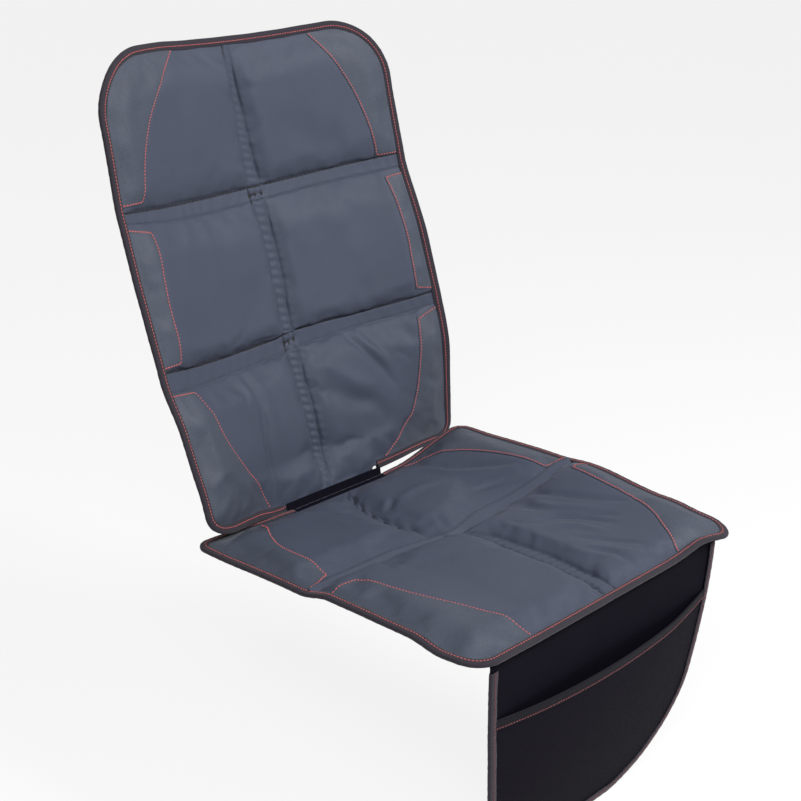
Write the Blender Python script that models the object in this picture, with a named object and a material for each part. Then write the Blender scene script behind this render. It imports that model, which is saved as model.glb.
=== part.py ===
"""Car seat protector mat, modelled as it hangs on a seat: back panel, seat panel and front flap.

Each panel starts as one flat pattern with all its seam lines marked on it. Every sewn layer
is cut from that pattern, then laid on the curved sheet that the mat takes up in use, at the
height of its layer, so the layers follow each other without touching.
Units are metres, +Z is up, -Y is the front of the seat, and X runs across the mat.
"""
import math

import bmesh
import bpy
import numpy as np

# Overall sizes of the mat, measured flat
MAT_WIDTH = 0.478
SEAT_DEPTH = 0.436
BACK_HEIGHT = 0.593
FLAP_DROP = 0.2825

# Layers, measured from the underside of the backing
BACKING = 0.0012
CLOTH = 0.0012
PATCH = 0.0010
GAP = 0.0003
PAD_CROWN = 0.0105
PAD_EDGE = 0.0060

# Edge binding, a tape folded over the raw edge
TAPE = 0.0009
TAPE_WIDTH = 0.0110
EDGE_BAND = TAPE_WIDTH + 2 * GAP

# Seams between the padded blocks
CENTRE_STRIP = 0.0140
CHANNEL = 0.0190
BACK_CHANNELS = (0.2130, 0.3980)
SEAT_CHANNEL = 0.1850
RAMP_TOP = 0.0280

# Joint between back and seat, with a slot for the belt buckles on each side
JOINT_WIDTH = 0.1600
SLOT = 0.0070
GUSSET_REACH = 0.0120

# Corner radii of the panels
BACK_TOP_RADIUS = 0.0850
BACK_FOOT_RADIUS = 0.0260
SEAT_REAR_RADIUS = 0.0200
SEAT_FRONT_RADIUS = 0.0360

# How the back panel lies on a seat back: lean of each row, and hollow between the bolsters
ROW_LEAN = (11.4, 20.5, 12.3)
HOLLOW = (0.0, 0.0220, 0.0460, 0.0390, 0.0330)
HOLLOW_START = 0.0600
TOP_DIP = 0.0090
FOOT_TWIST_LEFT = (-0.0290, 0.0180)
FOOT_TWIST_RIGHT = (0.0200, -0.0020)
BOLSTER_LEFT = (0.0080, 0.0110, 0.0140, -0.0020, -0.0010, 0.0030, 0.0060, 0.0160)
BOLSTER_RIGHT = (0.0090, 0.0130, 0.0140, 0.0080, 0.0120, 0.0060, 0.0030, 0.0020)
CORNER_DROOP = 0.0100
DROOP_FROM = 0.1000
DROOP_RUN = 0.1200
JOINT_SET_BACK = 0.0045
JOINT_RISE = 0.0030

# How the seat panel lies: flat in the middle, lifted along the bolsters
FLAT_HALF = 0.1000
LIFT_LEFT = (0.0050, 0.0072, 0.0068, 0.0150, 0.0140, 0.0055, 0.0020)
LIFT_RIGHT = (0.0255, 0.0280, 0.0274, 0.0300, 0.0172, 0.0130, 0.0105)
FRONT_LIFT = 0.0030
FRONT_FLAT = 0.0220
FRONT_SLOPE = 0.0450
REAR_LIFT = 0.0014
REAR_FLAT = 0.0130

# Front flap, hung from the underside of the seat's front edge
FLAP_HALF_TOP = 0.2110
FLAP_SET_BACK = 0.0056
FLAP_SWING = 0.0280
FLAP_TAPER = 0.0385
FLAP_CORNER = 0.1150
FLAP_SEAM = 0.0120
FLAP_BEND = 0.0060
FLAP_CLOTH = 0.0010
POCKET_CLOTH = 0.0008
POCKET_TOP = 0.0690
POCKET_DROOP = 0.0090
POCKET_GAPE = 0.0200
HEM = 0.0110

# Elastic strap across the rear of the back panel
STRAP_WIDTH = 0.0350
STRAP_LENGTH = 0.3000
STRAP_DROP = 0.0930
STRAP_CLOTH = 0.0012

# Heights of the stacked layers
FACE_LOW = BACKING + GAP
EDGE_TOP = FACE_LOW + CLOTH
HALF = MAT_WIDTH / 2
STRAP_HEIGHT = BACK_HEIGHT - STRAP_DROP
BOLSTER_MARKS = (0.0, 0.07, 0.14, BACK_CHANNELS[0], 0.305, BACK_CHANNELS[1], 0.50, BACK_HEIGHT)
LIFT_MARKS = (
    0.0, SEAT_CHANNEL - 0.045, SEAT_CHANNEL - 0.005, SEAT_CHANNEL + 0.040,
    SEAT_DEPTH - 0.096, SEAT_DEPTH - 0.042, SEAT_DEPTH
)

# Inner edges of the leatherette patches, as on the right-hand side: start, control and end
BACK_HEAD_CURVE = (
    (HALF - 0.0410, 0.4060), (HALF - 0.0490, BACK_HEIGHT - 0.0880), (HALF - 0.1130, BACK_HEIGHT - EDGE_BAND)
)
BACK_HEAD_LEFT_CURVE = (
    (HALF - 0.0410, 0.4060), (HALF - 0.0530, BACK_HEIGHT - 0.0880), (HALF - 0.1430, BACK_HEIGHT - EDGE_BAND)
)
BACK_SIDE_CURVE = ((HALF - 0.0360, 0.2200), (HALF - 0.0305, 0.3000), (HALF - 0.0425, 0.3720))
BACK_FOOT_CURVE = ((HALF - 0.1410, SLOT + EDGE_BAND), (HALF - 0.0400, 0.0895), (HALF - 0.0440, 0.1870))
SEAT_REAR_CURVE = ((HALF - 0.1090, EDGE_BAND), (HALF - 0.0360, 0.0800), (HALF - 0.0395, 0.1690))
SEAT_FRONT_CURVE = (
    (HALF - 0.0390, 0.2010), (HALF - 0.0390, 0.3110), (HALF - 0.1070, SEAT_DEPTH - EDGE_BAND)
)

COLOURS = {
    "oxford_cloth": (0.075, 0.085, 0.115, 0.75),
    "backing_cloth": (0.030, 0.031, 0.035, 0.90),
    "leatherette": (0.070, 0.092, 0.108, 0.55),
    "binding_tape": (0.035, 0.028, 0.036, 0.85),
    "pad_foam": (0.620, 0.620, 0.600, 0.95),
    "flap_cloth": (0.016, 0.015, 0.020, 0.85),
    "pocket_mesh": (0.014, 0.012, 0.019, 0.90),
    "elastic_webbing": (0.018, 0.018, 0.020, 0.85),
}


def clear_scene():
    """Start from an empty file, so that only the mat is in it."""
    for thing in list(bpy.data.objects):
        bpy.data.objects.remove(thing, do_unlink=True)


def material(name):
    """One plain material per kind of cloth."""
    if name in bpy.data.materials:
        return bpy.data.materials[name]
    red, green, blue, rough = COLOURS[name]
    made = bpy.data.materials.new(name)
    made.use_nodes = True
    shader = made.node_tree.nodes["Principled BSDF"]
    shader.inputs["Base Color"].default_value = (red, green, blue, 1.0)
    shader.inputs["Roughness"].default_value = rough
    return made


def ease(x):
    """Smooth step from 0 to 1."""
    x = min(max(x, 0.0), 1.0)
    return x * x * (3.0 - 2.0 * x)


# The curved sheets


def eased(x, marks, values):
    """Value that eases from one mark to the next."""
    for k in range(len(marks) - 1):
        if x < marks[k + 1]:
            part = ease((x - marks[k]) / (marks[k + 1] - marks[k]))
            return values[k] + (values[k + 1] - values[k]) * part
    return values[-1]


def spine_table():
    """Run (backwards), rise (upwards) and lean of the back panel's side edge."""
    steps = 240
    bend = 0.016
    step = BACK_HEIGHT * 1.05 / steps
    run, rise, lean = [0.0], [0.0], []
    for i in range(steps):
        angle = ROW_LEAN[0]
        for k, level in enumerate(BACK_CHANNELS):
            angle += (ROW_LEAN[k + 1] - ROW_LEAN[k]) * ease(((i + 0.5) * step - level) / bend + 0.5)
        lean.append(math.radians(angle))
        run.append(run[-1] + math.sin(lean[-1]) * step)
        rise.append(rise[-1] + math.cos(lean[-1]) * step)
    return np.linspace(0.0, BACK_HEIGHT * 1.05, steps + 1), run, rise, lean + lean[-1:]


SPINE = spine_table()


def foot_twist(u):
    """Offset of the back panel's bottom edge beyond the joint, backwards and up."""
    reach = ease((abs(u) - JOINT_WIDTH / 2) / (HALF - JOINT_WIDTH / 2))
    back, up = FOOT_TWIST_LEFT if u < 0 else FOOT_TWIST_RIGHT
    return back * reach, up * reach


def bolster(u, v):
    """How far a side of the back panel comes forward, and how far the left top corner sags."""
    side = eased(v, BOLSTER_MARKS, BOLSTER_LEFT if u < 0 else BOLSTER_RIGHT)
    corner = ease((-u - DROOP_FROM) / (HALF - DROOP_FROM)) * ease((v - BACK_HEIGHT) / DROOP_RUN + 1.025)
    return side * (u / HALF) ** 4, CORNER_DROOP * corner


def back_sheet(u, v):
    """Sheet of the back panel; v runs up from the joint."""
    marks, runs, rises, leans = SPINE
    lean = float(np.interp(v, marks, leans))
    run = float(np.interp(v, marks, runs)) + min(v, 0.0) * math.sin(lean)
    rise = float(np.interp(v, marks, rises)) + min(v, 0.0) * math.cos(lean)
    bow = 1.0 - (u / HALF) ** 2
    depth = eased(v, (0.0, HOLLOW_START) + BACK_CHANNELS + (BACK_HEIGHT,), HOLLOW) * bow
    dip = eased(v, (BACK_CHANNELS[1], BACK_HEIGHT), (0.0, TOP_DIP)) * bow
    fade = 1.0 - ease(v / (BACK_CHANNELS[0] - CHANNEL))
    twist_back, twist_up = foot_twist(u)
    forward, sag = bolster(u, v)
    y = SEAT_DEPTH / 2 + JOINT_SET_BACK + run + depth * math.cos(lean) + twist_back * fade - forward
    z = JOINT_RISE + rise - depth * math.sin(lean) + twist_up * fade - dip - sag
    return np.array((u, y, z))


def seat_lift(u, w):
    """Rise of the seat panel's sides over the bolsters, and of its thick sewn edges."""
    side = LIFT_LEFT if u < 0 else LIFT_RIGHT
    amount = eased(w, LIFT_MARKS, side)
    amount *= ease((abs(u) - FLAT_HALF) / (HALF - FLAT_HALF))
    amount += FRONT_LIFT * ease((w - SEAT_DEPTH + FRONT_FLAT + FRONT_SLOPE) / FRONT_SLOPE)
    rear = ease((abs(u) - JOINT_WIDTH / 2) / FRONT_FLAT) * (1.0 - ease((w - REAR_FLAT) / FRONT_SLOPE))
    return amount + REAR_LIFT * rear


def seat_sheet(u, w):
    """Sheet of the seat panel."""
    return np.array((u, SEAT_DEPTH / 2 - w, seat_lift(u, w)))


def flap_sheet(u, t):
    """Sheet of the flap: a seam allowance under the seat, then the hanging part."""
    radius = FLAP_BEND / (math.pi / 2)
    turn = min(max(t / FLAP_BEND + 0.5, 0.0), 1.0) * math.pi / 2
    y = -SEAT_DEPTH / 2 + FLAP_SET_BACK + radius * (1.0 - math.sin(turn))
    y += max(-t - FLAP_BEND / 2, 0.0) + FLAP_SWING * (max(t, 0.0) / FLAP_DROP) ** 1.6
    z = -TAPE - 2 * GAP - FLAP_CLOTH - radius * (1.0 - math.cos(turn))
    z -= max(t - FLAP_BEND / 2, 0.0)
    return np.array((u, y, z + seat_lift(u, SEAT_DEPTH)))


# Which way the outer face of each sheet looks, for the order of its two directions
SIGNS = {back_sheet: 1.0, seat_sheet: -1.0, flap_sheet: -1.0}


def at(sheet, u, v, height):
    """Point at a height above a sheet."""
    step = 0.0002
    across = sheet(u + step, v) - sheet(u - step, v)
    along = sheet(u, v + step) - sheet(u, v - step)
    normal = np.cross(across, along) * SIGNS[sheet]
    return sheet(u, v) + height * normal / np.linalg.norm(normal)


# Flat patterns


def inside(outline, x, y):
    """Whether a point lies inside a closed outline."""
    hit = False
    for (ax, ay), (bx, by) in zip(outline, outline[1:] + outline[:1]):
        if (ay > y) != (by > y) and x < (bx - ax) * (y - ay) / (by - ay) + ax:
            hit = not hit
    return hit


def crosses(face, start, end):
    """Whether a line segment runs through a flat convex face."""
    low, high = 0.0, 1.0
    centre = face.calc_center_median()
    dx, dy = end[0] - start[0], end[1] - start[1]
    for edge in face.edges:
        a, b = edge.verts[0].co, edge.verts[1].co
        nx, ny = b.y - a.y, a.x - b.x
        if (centre.x - a.x) * nx + (centre.y - a.y) * ny > 0:
            nx, ny = -nx, -ny
        level = (start[0] - a.x) * nx + (start[1] - a.y) * ny
        slope = dx * nx + dy * ny
        if abs(slope) < 1e-14:
            if level > 0:
                return False
        elif slope > 0:
            high = min(high, -level / slope)
        else:
            low = max(low, -level / slope)
    return (high - low) * math.hypot(dx, dy) > 1e-6


def mark_line(bm, line):
    """Draw a seam line on the pattern by cutting the faces that it runs through."""
    for start, end in zip(line, line[1:]):
        size = math.dist(start, end)
        if size < 1e-6:
            continue
        normal = ((end[1] - start[1]) / size, (start[0] - end[0]) / size, 0.0)
        left, right = sorted((start[0], end[0]))
        low, high = sorted((start[1], end[1]))
        faces = []
        for face in bm.faces:
            xs = [vert.co.x for vert in face.verts]
            ys = [vert.co.y for vert in face.verts]
            near = min(xs) <= right and max(xs) >= left and min(ys) <= high and max(ys) >= low
            if near and crosses(face, start, end):
                faces.append(face)
        edges = {edge for face in faces for edge in face.edges}
        verts = {vert for face in faces for vert in face.verts}
        geometry = list(verts) + list(edges) + faces
        bmesh.ops.bisect_plane(
            bm, geom=geometry, dist=2e-5, plane_co=(start[0], start[1], 0.0), plane_no=normal
        )


def flat_pattern(across, along, outline, marks):
    """Marked pattern: a grid of cells, cut to an outline, with seam lines drawn on it."""
    bm = bmesh.new()
    verts = {}
    for i, u in enumerate(across):
        for j, v in enumerate(along):
            verts[i, j] = bm.verts.new((u, v, 0.0))
    for i in range(len(across) - 1):
        for j in range(len(along) - 1):
            bm.faces.new((verts[i, j], verts[i + 1, j], verts[i + 1, j + 1], verts[i, j + 1]))
    mark_line(bm, outline + outline[:1])
    for line in marks:
        mark_line(bm, line)
    lost = []
    for face in bm.faces:
        centre = face.calc_center_median()
        if not inside(outline, centre.x, centre.y):
            lost.append(face)
    bmesh.ops.delete(bm, geom=lost, context="FACES")
    bmesh.ops.remove_doubles(bm, verts=bm.verts, dist=1e-4)
    bmesh.ops.dissolve_degenerate(bm, edges=bm.edges, dist=2e-5)
    bmesh.ops.triangulate(bm, faces=bm.faces)
    bm.normal_update()
    points = [(vert.co.x, vert.co.y) for vert in bm.verts]
    bm.verts.index_update()
    triangles = [tuple(vert.index for vert in face.verts) for face in bm.faces]
    bm.free()
    return points, triangles


def rim(pattern, start, end):
    """Edge points of a pattern, counter-clockwise from one point to another."""
    points, triangles = pattern
    pairs = {pair for a, b, c in triangles for pair in ((a, b), (b, c), (c, a))}
    following = {a: b for a, b in pairs if (b, a) not in pairs}
    first, last = (
        min(following, key=lambda k: math.dist(points[k], target)) for target in (start, end)
    )
    run = [points[first]]
    k = following[first]
    while k != last:
        run.append(points[k])
        k = following[k]
    return run + [points[last]]


# Sewing


def add_object(name, bm, slot, collection):
    """Store a closed mesh as a named object with its material."""
    bmesh.ops.recalc_face_normals(bm, faces=bm.faces)
    mesh = bpy.data.meshes.new(name)
    bm.to_mesh(mesh)
    bm.free()
    mesh.materials.append(material(slot))
    made = bpy.data.objects.new(name, mesh)
    collection.objects.link(made)
    return made


def sew_layer(name, sheet, pattern, regions, low, high, slot, collection):
    """Cut the part of a pattern inside all the regions and close it between two heights."""
    points, triangles = pattern
    chosen = []
    for triangle in triangles:
        u = sum(points[k][0] for k in triangle) / 3
        v = sum(points[k][1] for k in triangle) / 3
        if all(inside(region, u, v) for region in regions):
            chosen.append(triangle)
    bm = bmesh.new()
    lower, upper = {}, {}
    for k in sorted({k for triangle in chosen for k in triangle}):
        u, v = points[k]
        lower[k] = bm.verts.new(at(sheet, u, v, low(u, v)))
        upper[k] = bm.verts.new(at(sheet, u, v, high(u, v)))
    edges = {}
    for a, b, c in chosen:
        bm.faces.new((upper[a], upper[b], upper[c]))
        bm.faces.new((lower[c], lower[b], lower[a]))
        for pair in ((a, b), (b, c), (c, a)):
            edges[pair] = True
    for a, b in edges:
        if (b, a) not in edges:
            bm.faces.new((lower[a], lower[b], upper[b]))
            bm.faces.new((lower[a], upper[b], upper[a]))
    return add_object(name, bm, slot, collection)


def fold_tape(name, sheet, run, section, slot, collection):
    """Sweep a folded section along an open run; its points are (outward offset, height)."""
    bm = bmesh.new()
    rings = []
    for k, (u, v) in enumerate(run):
        tangents = []
        for (ax, ay), (bx, by) in ((run[max(k - 1, 0)], (u, v)), ((u, v), run[min(k + 1, len(run) - 1)])):
            size = math.hypot(bx - ax, by - ay)
            if size > 1e-9:
                tangents.append(((bx - ax) / size, (by - ay) / size))
        tx = sum(item[0] for item in tangents) / len(tangents)
        ty = sum(item[1] for item in tangents) / len(tangents)
        scale = tx * tx + ty * ty
        out_u, out_v = ty / scale, -tx / scale
        ring = [bm.verts.new(at(sheet, u + out_u * d, v + out_v * d, h)) for d, h in section]
        rings.append(ring)
    for first, second in zip(rings, rings[1:]):
        for k in range(len(section)):
            n = (k + 1) % len(section)
            bm.faces.new((first[k], first[n], second[n], second[k]))
    bm.faces.new(rings[0])
    bm.faces.new(list(reversed(rings[-1])))
    bmesh.ops.triangulate(bm, faces=bm.faces)
    return add_object(name, bm, slot, collection)


def tape_section(inner_top):
    """U section that wraps the stacked layers from below the backing to above the cloth."""
    low, high = -GAP, inner_top + 2 * GAP
    return [
        (GAP + TAPE, low - TAPE),
        (GAP + TAPE, high + TAPE),
        (-TAPE_WIDTH, high + TAPE),
        (-TAPE_WIDTH, high),
        (GAP, high),
        (GAP, low),
        (-TAPE_WIDTH, low),
        (-TAPE_WIDTH, low - TAPE),
    ]


# Outlines


def corner(cx, cy, radius, start, steps=6):
    """Quarter arc, counter-clockwise from a start angle in degrees."""
    points = []
    for k in range(steps + 1):
        angle = math.radians(start + 90.0 * k / steps)
        points.append((cx + radius * math.cos(angle), cy + radius * math.sin(angle)))
    return points


def panel_run(low, high, low_radius, high_radius, inset=0.0):
    """Edge of a panel from the right end of the joint round to the left end."""
    low, high, side = low + inset, high - inset, HALF - inset
    foot, top = low_radius - inset, high_radius - inset
    run = [(JOINT_WIDTH / 2, low)]
    run += corner(side - foot, low + foot, foot, -90, 4)
    run += corner(side - top, high - top, top, 0)
    run += corner(-side + top, high - top, top, 90)
    run += corner(-side + foot, low + foot, foot, 180, 4)
    return run + [(-JOINT_WIDTH / 2, low)]


def bezier(curve, steps=7):
    """Points along a curve given by its start, control and end."""
    (ax, ay), (bx, by), (cx, cy) = curve
    points = []
    for k in range(steps + 1):
        t = k / steps
        s = 1.0 - t
        points.append((s * s * ax + 2 * s * t * bx + t * t * cx, s * s * ay + 2 * s * t * by + t * t * cy))
    return points


def patch_outline(curve, run):
    """Right-hand patch between its inner edge and the inset edge of the panel."""
    line = bezier(curve)
    low, high = line[0][1], line[-1][1]
    edge = [point for point in run if point[0] > 0 and low + 0.001 < point[1] < high - 0.001]
    side = HALF - EDGE_BAND
    outer = []
    if line[0][0] > 0.15:
        outer.append((side, low))
    else:
        outer += [point for point in run if point[0] > line[0][0] and abs(point[1] - low) <= 0.001]
    outer += edge
    if line[-1][0] > 0.15:
        outer.append((side, high))
    else:
        outer += [point for point in run if point[0] > line[-1][0] and abs(point[1] - high) <= 0.001]
    return outer + list(reversed(line))


def mirrored(points):
    """The same outline on the left-hand side, still counter-clockwise."""
    return [(-u, v) for u, v in reversed(points)]


# Padded blocks

COLUMNS = ((-HALF + EDGE_BAND, -CENTRE_STRIP / 2), (CENTRE_STRIP / 2, HALF - EDGE_BAND))
BACK_ROWS = (
    (SLOT + EDGE_BAND, BACK_CHANNELS[0] - CHANNEL),
    (BACK_CHANNELS[0], BACK_CHANNELS[1] - CHANNEL),
    (BACK_CHANNELS[1], BACK_HEIGHT - EDGE_BAND),
)
SEAT_ROWS = (
    (EDGE_BAND, SEAT_CHANNEL - CHANNEL / 2),
    (SEAT_CHANNEL + CHANNEL / 2, SEAT_DEPTH - EDGE_BAND),
)


def grid_lines(blocks, others, middle):
    """Grid lines over a panel: its edges, and foot, edge and ramp of every padded block."""
    lines = [min(others) - 0.004, max(others) + 0.004] + others
    for start, end in blocks:
        lines += [start, start + PAD_EDGE, start + RAMP_TOP]
        lines += [end - RAMP_TOP, end - PAD_EDGE, end]
        span = end - start - 2 * RAMP_TOP
        lines += [start + RAMP_TOP + span * k / middle for k in range(1, middle)]
    kept = []
    for line in sorted(lines):
        if not kept or line - kept[-1] > 0.0005:
            kept.append(line)
    return kept


def swell(depth):
    """Share of the crown at a depth inside a block."""
    return float(np.interp(depth, (0.0, PAD_EDGE, RAMP_TOP, 0.09), (0.0, 0.45, 0.88, 1.0)))


def pad_lift(rows, low, high, low_radius, high_radius):
    """Height of the padding over a panel, zero on its seams and along its rounded edge."""

    def lift(u, v):
        depths = []
        for value, blocks in ((u, COLUMNS), (v, rows)):
            inner = [min(value - a, b - value) for a, b in blocks]
            depths.append(max(max(inner), 0.0))
        share = swell(depths[0]) * swell(depths[1])
        for level, radius, sign in ((low, low_radius, -1.0), (high, high_radius, 1.0)):
            cu, cv = HALF - radius, level - sign * radius
            if abs(u) > cu and (v - cv) * sign > 0:
                away = math.hypot(abs(u) - cu, v - cv)
                share *= swell(max(radius - EDGE_BAND - away, 0.0) * 2.0)
        return PAD_CROWN * share

    return lift


def level(height, profile=None):
    """Height function: a fixed level, with a profile on top of it where one is given."""
    if profile is None:
        return lambda u, v: height
    return lambda u, v: height + profile(u, v)


def padded_panel(prefix, sheet, rows, limits, radii, curves, collection):
    """One panel: backing, foam pads, face cloth, patches and binding."""
    low, high = limits
    edge = panel_run(low, high, radii[0], radii[1])
    band = panel_run(low, high, radii[0], radii[1], EDGE_BAND)
    inner = panel_run(low, high, radii[0], radii[1], EDGE_BAND + PAD_EDGE)
    tongue = [(-JOINT_WIDTH / 2, 0.0), (JOINT_WIDTH / 2, 0.0)] if low > 0 else []
    ends = sorted({curve[k][1] for label, right, left in curves for curve in (right, left) for k in (0, 2)})
    across = grid_lines(COLUMNS, [-HALF, HALF], 4)
    along = grid_lines(rows, [0.0, low, high] + ends, 2)
    patches = {}
    for label, right, left in curves:
        patches[label + "_right"] = patch_outline(right, band)
        patches[label + "_left"] = mirrored(patch_outline(left, band))
    end = JOINT_WIDTH / 2 + GAP
    marks = [band, inner + inner[:1]]
    meets = [(end, low)]
    for label, right, left in curves:
        meets += [point for curve in (right, left) for point in (curve[0], curve[2]) if point not in meets]
    for u, v in meets:
        if v < low + 0.02:
            marks += [[(side, low), (side, low + EDGE_BAND)] for side in (-u, u)]
        if v > high - 0.02:
            marks += [[(side, high - EDGE_BAND), (side, high)] for side in (-u, u)]
    marks += [outline + outline[:1] for outline in patches.values()]
    pattern = flat_pattern(across, along, edge + tongue, marks)
    lift = pad_lift(rows, low, high, radii[0], radii[1])
    sew_layer(
        prefix + "_backing", sheet, pattern, [], level(0.0), level(BACKING), "backing_cloth", collection
    )
    for r, row in enumerate(rows):
        for c, column in enumerate(COLUMNS):
            left, right = column[0] + PAD_EDGE, column[1] - PAD_EDGE
            box = [(left, row[0] + PAD_EDGE), (right, row[0] + PAD_EDGE)]
            box += [(right, row[1] - PAD_EDGE), (left, row[1] - PAD_EDGE)]
            name = "%s_pad_%d_%s" % (prefix, r + 1, ("left", "right")[c])
            top = level(FACE_LOW - GAP, lift)
            sew_layer(name, sheet, pattern, [box, inner], level(FACE_LOW), top, "pad_foam", collection)
    sew_layer(
        prefix + "_face", sheet, pattern, [], level(FACE_LOW, lift), level(EDGE_TOP, lift),
        "oxford_cloth", collection
    )
    for label, outline in patches.items():
        bottom, top = level(EDGE_TOP + GAP, lift), level(EDGE_TOP + GAP + PATCH, lift)
        sew_layer(
            prefix + "_patch_" + label, sheet, pattern, [outline], bottom, top, "leatherette", collection
        )
    run = rim(pattern, (end, low), (-end, low))
    fold_tape(prefix + "_binding", sheet, run, tape_section(EDGE_TOP), "binding_tape", collection)


def joint_gusset(collection):
    """Cloth gusset in the corner between seat and back, sewn to both faces."""
    seat = SEAT_DEPTH / 2
    top = EDGE_TOP + GAP
    lean = math.tan(math.radians(ROW_LEAN[0]))
    front = seat + JOINT_SET_BACK - (top + GAP) / math.cos(math.radians(ROW_LEAN[0]))
    run = [(seat - GUSSET_REACH + 0.001, top), (seat - 0.005, top)]
    for z in (0.0042, 0.0070, 0.0135):
        run.append((front + (z - JOINT_RISE) * lean - max(0.0062 - z, 0.0) * 0.9, z))
    bm = bmesh.new()
    half = JOINT_WIDTH / 2 - 2 * GAP
    rings = []
    for k, (y, z) in enumerate(run):
        ay, az = run[max(k - 1, 0)]
        by, bz = run[min(k + 1, len(run) - 1)]
        size = math.hypot(by - ay, bz - az)
        ny, nz = -(bz - az) / size, (by - ay) / size
        ring = []
        for x in (-half, half):
            ring.append(bm.verts.new((x, y, z)))
        for x in (half, -half):
            ring.append(bm.verts.new((x, y + ny * CLOTH, z + nz * CLOTH)))
        rings.append(ring)
    for first, second in zip(rings, rings[1:]):
        for k in range(4):
            n = (k + 1) % 4
            bm.faces.new((first[k], first[n], second[n], second[k]))
    bm.faces.new(rings[0])
    bm.faces.new(list(reversed(rings[-1])))
    bmesh.ops.triangulate(bm, faces=bm.faces)
    add_object("joint_gusset", bm, "oxford_cloth", collection)


def headrest_strap(collection):
    """Flat elastic strap sewn across the rear of the back panel."""
    half = STRAP_LENGTH / 2
    low, high = STRAP_HEIGHT - STRAP_WIDTH / 2, STRAP_HEIGHT + STRAP_WIDTH / 2
    across = [-half + STRAP_LENGTH * k / 12 for k in range(13)]
    outline = [(-half, low), (half, low), (half, high), (-half, high)]
    pattern = flat_pattern(across, [low, STRAP_HEIGHT, high], outline, [])
    bottom, top = level(-GAP - STRAP_CLOTH), level(-GAP)
    sew_layer(
        "headrest_strap", back_sheet, pattern, [], bottom, top, "elastic_webbing", collection
    )


# Front flap and its pocket


def flap_half(t):
    """Half width of the flap at a drop: a slow taper, then a wide rounded corner."""
    half = FLAP_HALF_TOP - FLAP_TAPER * ease(max(t, 0.0) / (FLAP_DROP * 1.3))
    past = (t - (FLAP_DROP - FLAP_CORNER)) / FLAP_CORNER
    if past > 0:
        half = 0.045 + (half - 0.045) * (1.0 - min(past, 1.0) ** 3.0) ** 0.58
    return half


def flap_outline(start):
    """Right side, bottom and left side of the flap, from a given drop."""
    drops = [start, 0.040, POCKET_TOP, 0.110, 0.150, 0.190, 0.215, 0.235, 0.250, 0.262, 0.271, 0.278]
    drops.append(FLAP_DROP)
    right = [(flap_half(t), t) for t in drops]
    return [(-u, t) for u, t in right] + [(u, t) for u, t in reversed(right)]


def inset_run(run, inset):
    """Run moved inwards by a fixed distance."""
    moved = []
    for k, (u, t) in enumerate(run):
        ax, ay = run[max(k - 1, 0)]
        bx, by = run[min(k + 1, len(run) - 1)]
        size = math.hypot(bx - ax, by - ay)
        moved.append((u + inset * (by - ay) / size, t - inset * (bx - ax) / size))
    return moved


def mouth(u):
    """Drop of the pocket's mouth, which sags towards the middle."""
    return POCKET_TOP + POCKET_DROOP * (1.0 - (u / FLAP_HALF_TOP) ** 2)


def pocket_gape(u, t):
    """Distance by which the pocket stands off the flap, widest at the middle of its mouth."""
    half = flap_half(t) - EDGE_BAND
    side = 1.0 - min(abs(u) / half, 1.0) ** 2
    depth = (t - mouth(u)) / (FLAP_DROP - EDGE_BAND - mouth(u))
    return POCKET_GAPE * side * (1.0 - min(max(depth, 0.0), 1.0) ** 2)


def front_flap(collection):
    """Flap cloth, pocket, pocket hem and binding."""
    base = flap_outline(0.0)
    band = inset_run(base, EDGE_BAND)
    top = FLAP_HALF_TOP
    panel = [(-top, -FLAP_SEAM)] + base + [(top, -FLAP_SEAM)]
    across = [-top - 0.004, -top, -0.17, -0.12, -0.06, 0.0, 0.06, 0.12, 0.17, top, top + 0.004]
    along = [-FLAP_SEAM - 0.002, -FLAP_SEAM, -FLAP_BEND / 2, 0.0, FLAP_BEND / 2, 0.03]
    along += [0.008, 0.069, 0.11, 0.15, 0.19, 0.23, 0.26, FLAP_DROP + 0.002]
    along.sort()
    lip = [(u, mouth(u)) for u in across]
    fold = [(u, mouth(u) + HEM) for u in across]
    panel = list(reversed(panel))
    pattern = flat_pattern(across, along, panel, [band, lip, fold])
    sew_layer(
        "flap_panel", flap_sheet, pattern, [], level(0.0), level(FLAP_CLOTH), "flap_cloth", collection
    )
    low = FLAP_CLOTH + GAP
    pocket = [(-0.3, FLAP_DROP + 0.1), (-0.3, mouth(0.3))] + lip + [(0.3, mouth(0.3)), (0.3, FLAP_DROP + 0.1)]
    sew_layer(
        "pocket_panel", flap_sheet, pattern, [pocket], level(low, pocket_gape),
        level(low + POCKET_CLOTH, pocket_gape), "pocket_mesh", collection
    )
    low += POCKET_CLOTH + GAP
    hem = lip + list(reversed(fold))
    sides = [(-1.0, -1.0)] + band + [(1.0, -1.0)]
    sew_layer(
        "pocket_hem", flap_sheet, pattern, [hem, sides], level(low, pocket_gape),
        level(low + CLOTH, pocket_gape), "flap_cloth", collection
    )
    start = flap_half(0.008)
    run = rim(pattern, (start, 0.008), (-start, 0.008))
    section = tape_section(FLAP_CLOTH + GAP + POCKET_CLOTH)
    fold_tape("flap_binding", flap_sheet, run, section, "binding_tape", collection)


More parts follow.
